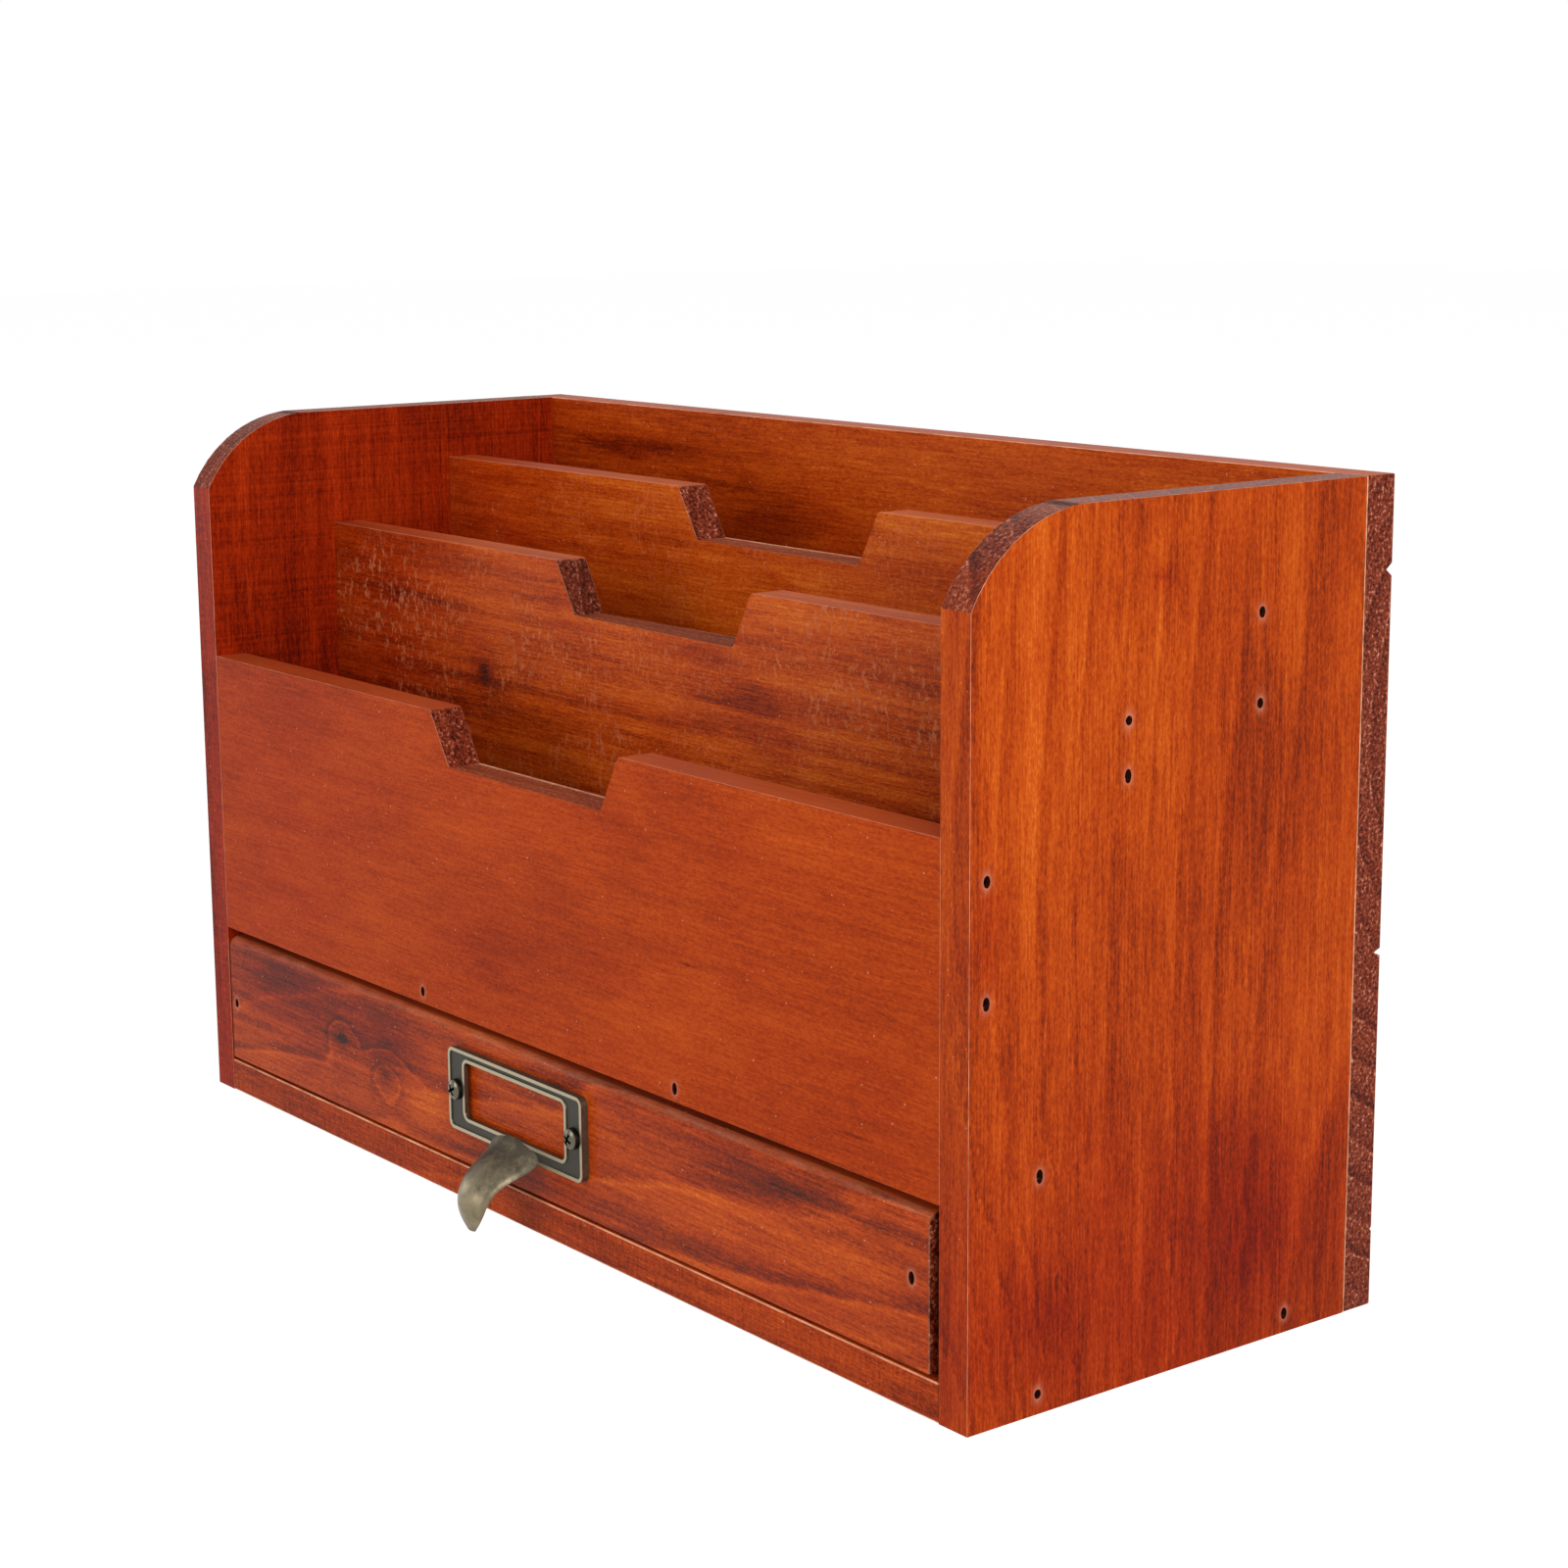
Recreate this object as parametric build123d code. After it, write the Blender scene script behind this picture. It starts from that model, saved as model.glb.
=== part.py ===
from build123d import *

import math
import os

# Desktop letter sorter: three notched pockets that step up towards the back, over one shallow drawer.
# Millimetres. X runs to the right, Y to the back and Z up. The origin is the centre of the case's underside.

# Case
CASE_WIDTH = 342.0
CASE_HEIGHT = 200.0
SIDE_DEPTH = 119.0
SIDE_STOCK = 9.5
BACK_STOCK = 9.5
BOTTOM_STOCK = 9.5
DECK_STOCK = 9.5
PANEL_STOCK = 9.5
DRAWER_OPENING = 40.5  # clear height between the bottom board and the deck

# Rounded upper front corner of each side: an arc that runs out level at the top and meets the front edge at an angle
CORNER_RADIUS = 37.0
CORNER_REACH = 33.0  # from the front edge back to where the arc meets the top edge

# Notched panels
FRONT_PANEL_TOP = 131.0
MIDDLE_DIVIDER_TOP = 167.0
REAR_DIVIDER_TOP = 184.0
POCKET_DEPTH = 31.0  # clear depth of the front and the middle pocket
NOTCH_TOP_WIDTH = 86.0
NOTCH_FLOOR_WIDTH = 68.5
NOTCH_DEPTH = 14.3
NOTCH_FLOOR_FILLET = 3.0
NOTCH_TOP_FILLET = 1.2

# Three saw kerfs across the back panel's rear face, each a V: height of its centre, width, depth
KERFS = ((178.0, 3.0, 1.9), (87.5, 1.8, 2.2), (19.0, 1.0, 0.6))

# Drawer
DRAWER_FRONT_STOCK = 9.5
DRAWER_FRONT_HEIGHT = 37.0
DRAWER_FRONT_ROUND = 3.0  # rounding of the front's upper edge
DRAWER_FRONT_LIFT = 0.7  # from the bottom board up to the front's lower edge
DRAWER_END_GAP = 2.0  # from each side of the case to the drawer, when it stands in the middle
DRAWER_SHIFT = -1.4  # where it stands from the middle, pushed to the left
DRAWER_REAR_GAP = 1.5
DRAWER_SIDE_STOCK = 9.5
DRAWER_SIDE_HEIGHT = 33.0
DRAWER_BACK_STOCK = 9.5
DRAWER_BACK_DROP = 3.0  # how far the drawer's back stays below its sides
DRAWER_BOTTOM_STOCK = 4.0
DRAWER_GROOVE_HEIGHT = 3.5  # from the sides' lower edge up to the groove
DRAWER_GROOVE_DEPTH = 3.5
SLIDING_CLEARANCE = 0.3  # between the drawer's sides and the bottom board

# Brads: a thin shank with a small flat head, driven below the surface
BRAD_LENGTH = 19.0
BRAD_SHANK_RADIUS = 0.6
BRAD_HEAD_RADIUS = 1.0
BRAD_HEAD_THICKNESS = 0.8
BRAD_SINK = 1.3
BRAD_CLEARANCE = 0.05
FRONT_PANEL_BRAD_DROPS = (8.5, 35.0)  # below the panel's upper edge, in each side of the case
MIDDLE_DIVIDER_BRAD_DROPS = (14.8, 27.0)
REAR_DIVIDER_BRAD_DROPS = (12.0, 32.5)
LEVEL_BOARD_BRAD_INSET = 20.5  # from a level board's front and rear edges to its brads
DECK_BRAD_SPACING = 115.2  # the two brads through the front panel
DECK_BRAD_SHIFT = 6.8  # they sit a little to the right of the middle
DECK_BRAD_RISE = 3.3  # from the deck's underside up to them
# One brad through each end of the drawer front: side, distance in from the end, height above the lower edge
DRAWER_FRONT_BRAD_SPOTS = ((-1, 3.3, 17.2), (1, 5.8, 20.8))
BACK_BRAD_INSET = 14.0  # from the back panel's top and underside to its end brads
BACK_BRAD_ROW_COUNT = 4
BACK_BRAD_SPACING = 90.0  # along the deck and the bottom board
BACK_BRAD_COLUMN_COUNT = 3
DRAWER_BACK_BRAD_SPACING = 15.0

# Label pull: a cast frame round a card window, with a curled finger pull on its lower bar
PLATE_WIDTH = 62.6
PLATE_HEIGHT = 22.3
PLATE_THICKNESS = 1.8
PLATE_CORNER = 2.2
PLATE_CENTRE_HEIGHT = 20.85  # above the drawer front's lower edge
PULL_SHIFT = -2.8  # it is screwed on a little to the left of the drawer front's middle
WINDOW_WIDTH = 47.0
WINDOW_HEIGHT = 15.3
WINDOW_CORNER = 1.6
WINDOW_LIFT = 0.65  # the window sits above the plate's centre, so the lower bar is the wider
BEAD_WIDTH = 0.9
BEAD_HEIGHT = 0.3
CARD_DEPTH = 0.8  # recess for the card behind the window
CARD_MARGIN = 1.6  # how far the recess runs behind the frame
HOOK_ROOT_DROP = 10.5  # from the plate's centre down to the hook's root
# Stations along the hook from its root: out from the plate's face, down from the root, slope below level, half width,
# crown, thickness
HOOK_STATIONS = (
    (-0.6, 0.0, 0.0, 11.0, 4.0, 1.9),
    (2.5, 2.6, 19.5, 10.0, 4.0, 1.9),
    (6.3, 4.4, 24.5, 8.7, 3.8, 1.9),
    (10.2, 6.8, 40.5, 7.3, 3.3, 1.8),
    (12.9, 10.6, 69.0, 6.0, 2.8, 1.8),
    (13.7, 14.6, 86.0, 4.6, 2.1, 1.7),
    (13.6, 17.9, 95.0, 2.6, 0.9, 1.5),
)

# Pan-head screws with a cross recess, in the middle of the plate's end bars
SCREW_HEAD_RADIUS = 2.8
SCREW_HEAD_HEIGHT = 1.3
SCREW_HEAD_ROUND = 0.9
SCREW_SHANK_RADIUS = 1.4
SCREW_LENGTH = 10.0
SCREW_CLEARANCE = 0.25  # round the shank in the plate
SCREW_PILOT_CLEARANCE = 0.05
CROSS_LENGTH = 3.2
CROSS_WIDTH = 0.7
CROSS_DEPTH = 0.9

# Places that the sizes above give
CASE_DEPTH = SIDE_DEPTH + BACK_STOCK
FRONT = -CASE_DEPTH / 2
SIDES_REAR = FRONT + SIDE_DEPTH
REAR = SIDES_REAR + BACK_STOCK
OUTER_X = CASE_WIDTH / 2
INNER_X = OUTER_X - SIDE_STOCK
DECK_UNDERSIDE = BOTTOM_STOCK + DRAWER_OPENING
DECK_TOP = DECK_UNDERSIDE + DECK_STOCK
PANEL_REAR = FRONT + PANEL_STOCK
MIDDLE_FRONT = PANEL_REAR + POCKET_DEPTH
REAR_DIVIDER_FRONT = MIDDLE_FRONT + PANEL_STOCK + POCKET_DEPTH

DRAWER_X = INNER_X - DRAWER_END_GAP
DRAWER_INNER_X = DRAWER_X - DRAWER_SIDE_STOCK
DRAWER_FRONT_UNDERSIDE = BOTTOM_STOCK + DRAWER_FRONT_LIFT
DRAWER_FRONT_REAR = FRONT + DRAWER_FRONT_STOCK
DRAWER_REAR = SIDES_REAR - DRAWER_REAR_GAP
DRAWER_BACK_FRONT = DRAWER_REAR - DRAWER_BACK_STOCK
DRAWER_SIDE_UNDERSIDE = BOTTOM_STOCK + SLIDING_CLEARANCE
DRAWER_SIDE_TOP = DRAWER_SIDE_UNDERSIDE + DRAWER_SIDE_HEIGHT
DRAWER_FLOOR_UNDERSIDE = DRAWER_SIDE_UNDERSIDE + DRAWER_GROOVE_HEIGHT
DRAWER_FLOOR_TOP = DRAWER_FLOOR_UNDERSIDE + DRAWER_BOTTOM_STOCK
DRAWER_BACK_TOP = DRAWER_SIDE_TOP - DRAWER_BACK_DROP

PLATE_CENTRE_Z = DRAWER_FRONT_UNDERSIDE + PLATE_CENTRE_HEIGHT
PLATE_FACE = FRONT - PLATE_THICKNESS
SCREW_SPREAD = (PLATE_WIDTH + WINDOW_WIDTH) / 2
SCREW_PLACES = (PULL_SHIFT - SCREW_SPREAD / 2, PULL_SHIFT + SCREW_SPREAD / 2)

# Turns that lead a tool's +Z out of the face that it works on
OUT_RIGHT = (0, 90, 0)
OUT_LEFT = (0, -90, 0)
OUT_FRONT = (90, 0, 0)
OUT_BACK = (-90, 0, 0)


def block(left, right, front, rear, low, high):
    """A box given by its six faces."""
    corner = Pos(left, front, low)
    return corner * Box(right - left, rear - front, high - low, align=(Align.MIN, Align.MIN, Align.MIN))


def evenly(first, last, count):
    """Places from first to last with equal steps."""
    step = (last - first) / (count - 1)
    return [first + index * step for index in range(count)]


def combined(solids):
    """One shape made of separate solids."""
    return Compound(children=list(solids))


# ---- Brads ----

def brad():
    """One brad, pointing down from a surface at z = 0."""
    head = Pos(0, 0, -BRAD_SINK) * Cylinder(
        BRAD_HEAD_RADIUS, BRAD_HEAD_THICKNESS, align=(Align.CENTER, Align.CENTER, Align.MAX)
    )
    shank = Pos(0, 0, -BRAD_SINK - BRAD_HEAD_THICKNESS) * Cylinder(
        BRAD_SHANK_RADIUS, BRAD_LENGTH, align=(Align.CENTER, Align.CENTER, Align.MAX)
    )
    return head + shank


def brad_hole():
    """The hole that a brad leaves: its head's width down to the sunk head, then its shank's."""
    mouth = Cylinder(
        BRAD_HEAD_RADIUS + BRAD_CLEARANCE,
        BRAD_SINK + BRAD_HEAD_THICKNESS + BRAD_CLEARANCE,
        align=(Align.CENTER, Align.CENTER, Align.MAX),
    )
    shaft = Cylinder(
        BRAD_SHANK_RADIUS + BRAD_CLEARANCE,
        BRAD_SINK + BRAD_HEAD_THICKNESS + BRAD_LENGTH + BRAD_CLEARANCE,
        align=(Align.CENTER, Align.CENTER, Align.MAX),
    )
    return mouth + shaft


def drilled(board, places):
    """A board less the brad holes at the given places."""
    return board - [place * brad_hole() for place in places]


def side_brad_places(outer_x, turn):
    """Brads through one side of the case, into every board that ends on it."""
    panels = (
        (FRONT, FRONT_PANEL_TOP, FRONT_PANEL_BRAD_DROPS),
        (MIDDLE_FRONT, MIDDLE_DIVIDER_TOP, MIDDLE_DIVIDER_BRAD_DROPS),
        (REAR_DIVIDER_FRONT, REAR_DIVIDER_TOP, REAR_DIVIDER_BRAD_DROPS),
    )
    places = []
    for front, top, drops in panels:
        for drop in drops:
            places.append(Location((outer_x, front + PANEL_STOCK / 2, top - drop), turn))
    first_row = FRONT + LEVEL_BOARD_BRAD_INSET
    last_row = SIDES_REAR - LEVEL_BOARD_BRAD_INSET
    places.append(Location((outer_x, first_row, DECK_UNDERSIDE + DECK_STOCK / 2), turn))
    for row in (first_row, last_row):
        places.append(Location((outer_x, row, BOTTOM_STOCK / 2), turn))
    return places


def front_panel_brad_places():
    """Brads through the front panel, into the deck's front edge."""
    height = DECK_UNDERSIDE + DECK_BRAD_RISE
    return [
        Location((DECK_BRAD_SHIFT + side * DECK_BRAD_SPACING / 2, FRONT, height), OUT_FRONT)
        for side in (-1, 1)
    ]


def back_brad_places():
    """Brads through the back panel, into the sides, the bottom board and the deck."""
    places = []
    edge_x = OUTER_X - SIDE_STOCK / 2
    for side in (-1, 1):
        for height in evenly(BACK_BRAD_INSET, CASE_HEIGHT - BACK_BRAD_INSET, BACK_BRAD_ROW_COUNT):
            places.append(Location((side * edge_x, REAR, height), OUT_BACK))
    half_row = BACK_BRAD_SPACING * (BACK_BRAD_COLUMN_COUNT - 1) / 2
    for height in (BOTTOM_STOCK / 2, DECK_UNDERSIDE + DECK_STOCK / 2):
        for across in evenly(-half_row, half_row, BACK_BRAD_COLUMN_COUNT):
            places.append(Location((across, REAR, height), OUT_BACK))
    return places


def drawer_front_brad_places():
    """One brad through each end of the drawer front, into the drawer's side."""
    return [
        Location((side * (DRAWER_X - inset), FRONT, DRAWER_FRONT_UNDERSIDE + rise), OUT_FRONT)
        for side, inset, rise in DRAWER_FRONT_BRAD_SPOTS
    ]


def drawer_side_brad_places(side, turn):
    """Two brads through the rear end of one drawer side, into the drawer's back."""
    row = DRAWER_BACK_FRONT + DRAWER_BACK_STOCK / 2
    centre = (DRAWER_FLOOR_TOP + DRAWER_BACK_TOP) / 2
    return [
        Location((side * DRAWER_X, row, centre + end * DRAWER_BACK_BRAD_SPACING / 2), turn) for end in (-1, 1)
    ]


RIGHT_BRADS = side_brad_places(OUTER_X, OUT_RIGHT)
LEFT_BRADS = side_brad_places(-OUTER_X, OUT_LEFT)
FRONT_PANEL_BRADS = front_panel_brad_places()
BACK_BRADS = back_brad_places()
DRAWER_FRONT_BRADS = drawer_front_brad_places()
DRAWER_RIGHT_BRADS = drawer_side_brad_places(1, OUT_RIGHT)
DRAWER_LEFT_BRADS = drawer_side_brad_places(-1, OUT_LEFT)


# ---- Case ----

def side_board(left):
    """One side of the case, from x = left, with its upper front corner rounded."""
    arc_centre_y = FRONT + CORNER_REACH
    arc_centre_z = CASE_HEIGHT - CORNER_RADIUS
    start_angle = math.acos(CORNER_REACH / CORNER_RADIUS)
    middle_angle = (start_angle + math.pi / 2) / 2
    start = (FRONT, arc_centre_z + CORNER_RADIUS * math.sin(start_angle))
    middle = (
        arc_centre_y - CORNER_RADIUS * math.cos(middle_angle),
        arc_centre_z + CORNER_RADIUS * math.sin(middle_angle),
    )
    end = (arc_centre_y, CASE_HEIGHT)
    outline = [
        Line((FRONT, 0), start),
        ThreePointArc(start, middle, end),
        Line(end, (SIDES_REAR, CASE_HEIGHT)),
        Line((SIDES_REAR, CASE_HEIGHT), (SIDES_REAR, 0)),
        Line((SIDES_REAR, 0), (FRONT, 0)),
    ]
    plane = Plane(origin=(left, 0, 0), x_dir=(0, 1, 0), z_dir=(1, 0, 0))
    return extrude(plane * make_face(outline), SIDE_STOCK)


def right_side():
    """The right side, with its brad holes."""
    return drilled(side_board(INNER_X), RIGHT_BRADS + BACK_BRADS)


def left_side():
    """The left side, with its brad holes."""
    return drilled(side_board(-OUTER_X), LEFT_BRADS + BACK_BRADS)


def kerf(height, width, depth):
    """A V-shaped cutter across the back panel's rear face."""
    wedge = make_face(
        Polyline(
            (REAR, height - width / 2),
            (REAR - depth, height),
            (REAR, height + width / 2),
            close=True,
        )
    )
    plane = Plane(origin=(-OUTER_X, 0, 0), x_dir=(0, 1, 0), z_dir=(1, 0, 0))
    return extrude(plane * wedge, CASE_WIDTH)


def back_panel():
    """The back, over the rear edges of the sides, the bottom board and the deck."""
    board = block(-OUTER_X, OUTER_X, SIDES_REAR, REAR, 0, CASE_HEIGHT)
    board -= [kerf(*sizes) for sizes in KERFS]
    return drilled(board, BACK_BRADS)


def bottom_panel():
    """The bottom board, between the sides."""
    board = block(-INNER_X, INNER_X, FRONT, SIDES_REAR, 0, BOTTOM_STOCK)
    return drilled(board, LEFT_BRADS + RIGHT_BRADS + BACK_BRADS)


def pocket_deck():
    """The deck over the drawer, which is the floor of the pockets."""
    board = block(-INNER_X, INNER_X, PANEL_REAR, SIDES_REAR, DECK_UNDERSIDE, DECK_TOP)
    return drilled(board, LEFT_BRADS + RIGHT_BRADS + BACK_BRADS + FRONT_PANEL_BRADS)


def notched_panel(front, low, high):
    """A board between the sides, with the sloped notch in the middle of its upper edge."""
    floor = high - NOTCH_DEPTH
    upper_edge = FilletPolyline(
        (-INNER_X, high),
        (-NOTCH_TOP_WIDTH / 2, high),
        (-NOTCH_FLOOR_WIDTH / 2, floor),
        (NOTCH_FLOOR_WIDTH / 2, floor),
        (NOTCH_TOP_WIDTH / 2, high),
        (INNER_X, high),
        radius=[NOTCH_TOP_FILLET, NOTCH_FLOOR_FILLET, NOTCH_FLOOR_FILLET, NOTCH_TOP_FILLET],
    )
    lower_edges = Polyline((INNER_X, high), (INNER_X, low), (-INNER_X, low), (-INNER_X, high))
    profile = make_face(upper_edge.edges() + lower_edges.edges())
    plane = Plane(origin=(0, front + PANEL_STOCK, 0), x_dir=(1, 0, 0), z_dir=(0, -1, 0))
    return extrude(plane * profile, PANEL_STOCK)


def front_panel():
    """The front of the first pocket, flush with the sides and over the deck's front edge."""
    board = notched_panel(FRONT, DECK_UNDERSIDE, FRONT_PANEL_TOP)
    return drilled(board, LEFT_BRADS + RIGHT_BRADS + FRONT_PANEL_BRADS)


def middle_divider():
    """The divider between the front and the middle pocket."""
    return drilled(notched_panel(MIDDLE_FRONT, DECK_TOP, MIDDLE_DIVIDER_TOP), LEFT_BRADS + RIGHT_BRADS)


def rear_divider():
    """The divider between the middle and the rear pocket."""
    return drilled(notched_panel(REAR_DIVIDER_FRONT, DECK_TOP, REAR_DIVIDER_TOP), LEFT_BRADS + RIGHT_BRADS)


# ---- Drawer ----

def drawer_floor():
    """The thin bottom, let into the front, the sides and the back."""
    reach = DRAWER_INNER_X + DRAWER_GROOVE_DEPTH
    front = DRAWER_FRONT_REAR - DRAWER_GROOVE_DEPTH
    rear = DRAWER_BACK_FRONT + DRAWER_GROOVE_DEPTH
    return block(-reach, reach, front, rear, DRAWER_FLOOR_UNDERSIDE, DRAWER_FLOOR_TOP)


def drawer_front():
    """The drawer front, with its upper edge rounded over and pilot holes for the pull."""
    top = DRAWER_FRONT_UNDERSIDE + DRAWER_FRONT_HEIGHT
    board = block(-DRAWER_X, DRAWER_X, FRONT, DRAWER_FRONT_REAR, DRAWER_FRONT_UNDERSIDE, top)
    top_edge = board.edges().filter_by(Axis.X).sort_by(Axis.Y)[:2].sort_by(Axis.Z)[-1]
    board = fillet(top_edge, DRAWER_FRONT_ROUND)
    board -= drawer_floor()
    pilot = Cylinder(
        SCREW_SHANK_RADIUS + SCREW_PILOT_CLEARANCE,
        SCREW_LENGTH - PLATE_THICKNESS + SCREW_PILOT_CLEARANCE,
        align=(Align.CENTER, Align.CENTER, Align.MAX),
    )
    board -= [Location((x, FRONT, PLATE_CENTRE_Z), OUT_FRONT) * pilot for x in SCREW_PLACES]
    return drilled(board, DRAWER_FRONT_BRADS)


def drawer_side(left, brads):
    """One side of the drawer, from x = left, grooved for the bottom."""
    board = block(
        left, left + DRAWER_SIDE_STOCK, DRAWER_FRONT_REAR, DRAWER_REAR, DRAWER_SIDE_UNDERSIDE, DRAWER_SIDE_TOP
    )
    return drilled(board - drawer_floor(), brads + DRAWER_FRONT_BRADS)


def drawer_back():
    """The drawer's back, between its sides."""
    board = block(
        -DRAWER_INNER_X, DRAWER_INNER_X, DRAWER_BACK_FRONT, DRAWER_REAR, DRAWER_SIDE_UNDERSIDE, DRAWER_BACK_TOP
    )
    return drilled(board - drawer_floor(), DRAWER_LEFT_BRADS + DRAWER_RIGHT_BRADS)


# ---- Label pull ----

def plate_plane(out):
    """The plane parallel to the plate's face, at a distance out from the drawer front."""
    return Plane(origin=(PULL_SHIFT, FRONT - out, PLATE_CENTRE_Z), x_dir=(1, 0, 0), z_dir=(0, -1, 0))


def window_outline(margin):
    """The card window, larger all round by a margin."""
    return Pos(0, WINDOW_LIFT) * RectangleRounded(
        WINDOW_WIDTH + 2 * margin, WINDOW_HEIGHT + 2 * margin, WINDOW_CORNER + margin
    )


def beads():
    """The raised beads along the plate's outline and round its window."""
    outline = RectangleRounded(PLATE_WIDTH, PLATE_HEIGHT, PLATE_CORNER)
    inside = RectangleRounded(
        PLATE_WIDTH - 2 * BEAD_WIDTH, PLATE_HEIGHT - 2 * BEAD_WIDTH, PLATE_CORNER - BEAD_WIDTH
    )
    rings = (outline - inside) + (window_outline(BEAD_WIDTH) - window_outline(0))
    return extrude(plate_plane(PLATE_THICKNESS) * rings, BEAD_HEIGHT)


def hook():
    """The curled finger pull: a crowned shell that runs out of the lower bar and down."""
    sections = []
    root_z = PLATE_CENTRE_Z - HOOK_ROOT_DROP
    for out, down, slope, half_width, crown, thickness in HOOK_STATIONS:
        angle = math.radians(slope)
        plane = Plane(
            origin=(PULL_SHIFT, PLATE_FACE - out, root_z - down),
            x_dir=(1, 0, 0),
            z_dir=(0, -math.cos(angle), -math.sin(angle)),
        )
        outline = [
            ThreePointArc((-half_width, 0), (0, crown), (half_width, 0)),
            Line((half_width, 0), (half_width, -thickness)),
            ThreePointArc((half_width, -thickness), (0, crown - thickness), (-half_width, -thickness)),
            Line((-half_width, -thickness), (-half_width, 0)),
        ]
        sections.append(plane * make_face(outline))
    return loft(sections)


def label_pull():
    """The plate with its window, card recess, beads, screw holes and hook, cast in one piece."""
    outline = RectangleRounded(PLATE_WIDTH, PLATE_HEIGHT, PLATE_CORNER) - window_outline(0)
    plate = extrude(plate_plane(0) * outline, PLATE_THICKNESS)
    plate += beads()
    plate += hook()
    plate -= extrude(plate_plane(0) * window_outline(CARD_MARGIN), CARD_DEPTH)
    screw_hole = Cylinder(
        SCREW_SHANK_RADIUS + SCREW_CLEARANCE, PLATE_THICKNESS, align=(Align.CENTER, Align.CENTER, Align.MAX)
    )
    plate -= [Location((x, PLATE_FACE, PLATE_CENTRE_Z), OUT_FRONT) * screw_hole for x in SCREW_PLACES]
    return plate


def pull_screw():
    """A pan-head screw that points down from z = 0, the face that its head seats on."""
    head = Cylinder(SCREW_HEAD_RADIUS, SCREW_HEAD_HEIGHT, align=(Align.CENTER, Align.CENTER, Align.MIN))
    head = fillet(head.edges().group_by(Axis.Z)[-1], SCREW_HEAD_ROUND)
    for turn in (0, 90):
        slot = Box(CROSS_LENGTH, CROSS_WIDTH, CROSS_DEPTH, align=(Align.CENTER, Align.CENTER, Align.MAX))
        head -= Pos(0, 0, SCREW_HEAD_HEIGHT) * Rot(0, 0, turn) * slot
    shank = Cylinder(SCREW_SHANK_RADIUS, SCREW_LENGTH, align=(Align.CENTER, Align.CENTER, Align.MAX))
    return head + shank


def pull_screws():
    """Both screws, their heads on the plate's face."""
    return combined(Location((x, PLATE_FACE, PLATE_CENTRE_Z), OUT_FRONT) * pull_screw() for x in SCREW_PLACES)


def brads(places):
    """Separate brads at the given places."""
    return combined(place * brad() for place in places)


CASE_NODES = {
    "left_side": left_side,
    "right_side": right_side,
    "back_panel": back_panel,
    "bottom_panel": bottom_panel,
    "pocket_deck": pocket_deck,
    "front_panel": front_panel,
    "middle_divider": middle_divider,
    "rear_divider": rear_divider,
    "left_side_brads": lambda: brads(LEFT_BRADS),
    "right_side_brads": lambda: brads(RIGHT_BRADS),
    "front_panel_brads": lambda: brads(FRONT_PANEL_BRADS),
    "back_panel_brads": lambda: brads(BACK_BRADS),
}

# The drawer is made about the middle, and stands a little to the left of it
DRAWER_NODES = {
    "drawer_front": drawer_front,
    "drawer_left_side": lambda: drawer_side(-DRAWER_X, DRAWER_LEFT_BRADS),
    "drawer_right_side": lambda: drawer_side(DRAWER_INNER_X, DRAWER_RIGHT_BRADS),
    "drawer_back": drawer_back,
    "drawer_bottom": drawer_floor,
    "drawer_front_brads": lambda: brads(DRAWER_FRONT_BRADS),
    "drawer_side_brads": lambda: brads(DRAWER_LEFT_BRADS + DRAWER_RIGHT_BRADS),
    "label_pull": label_pull,
    "pull_screws": pull_screws,
}


def stood_left(shape):
    """A drawer part, moved from the middle to where the drawer stands."""
    solids = [Pos(DRAWER_SHIFT, 0, 0) * solid for solid in shape.solids()]
    return solids[0] if len(solids) == 1 else combined(solids)


os.makedirs("parts", exist_ok=True)
for name, make in CASE_NODES.items():
    export_step(make(), f"parts/{name}.step")
for name, make in DRAWER_NODES.items():
    export_step(stood_left(make()), f"parts/{name}.step")
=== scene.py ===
"""Desktop letter sorter with one drawer: stained boards, nailed joints and a cast brass label pull.

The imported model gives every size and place. Each board is made again with softened edges and its own grain,
the pull is made again as a casting, and a plain white studio stands around them.
"""

import logging
import math
from dataclasses import dataclass, field, replace
from enum import Enum
from functools import partial
from typing import Callable

import bmesh
import bpy
from bpy.types import Material, NodeSocket, NodeTree, Object
from mathutils import Matrix, Vector


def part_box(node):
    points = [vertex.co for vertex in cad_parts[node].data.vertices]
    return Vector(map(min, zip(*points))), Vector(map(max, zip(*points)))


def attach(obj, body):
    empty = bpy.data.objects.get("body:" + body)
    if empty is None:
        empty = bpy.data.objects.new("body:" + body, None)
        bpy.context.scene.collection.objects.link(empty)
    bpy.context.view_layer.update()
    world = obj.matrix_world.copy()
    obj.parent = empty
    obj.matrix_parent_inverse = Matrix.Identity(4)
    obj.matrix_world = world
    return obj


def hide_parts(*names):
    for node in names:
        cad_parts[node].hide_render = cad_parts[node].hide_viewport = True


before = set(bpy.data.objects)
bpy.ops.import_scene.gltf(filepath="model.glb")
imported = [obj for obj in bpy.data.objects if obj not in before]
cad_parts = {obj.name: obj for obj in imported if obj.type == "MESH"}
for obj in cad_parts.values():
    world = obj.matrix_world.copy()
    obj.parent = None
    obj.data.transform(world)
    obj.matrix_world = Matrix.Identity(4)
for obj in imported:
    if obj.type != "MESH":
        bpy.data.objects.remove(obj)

logging.basicConfig(level=logging.INFO, format="%(message)s")
LOG = logging.getLogger("letter_sorter")

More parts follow.
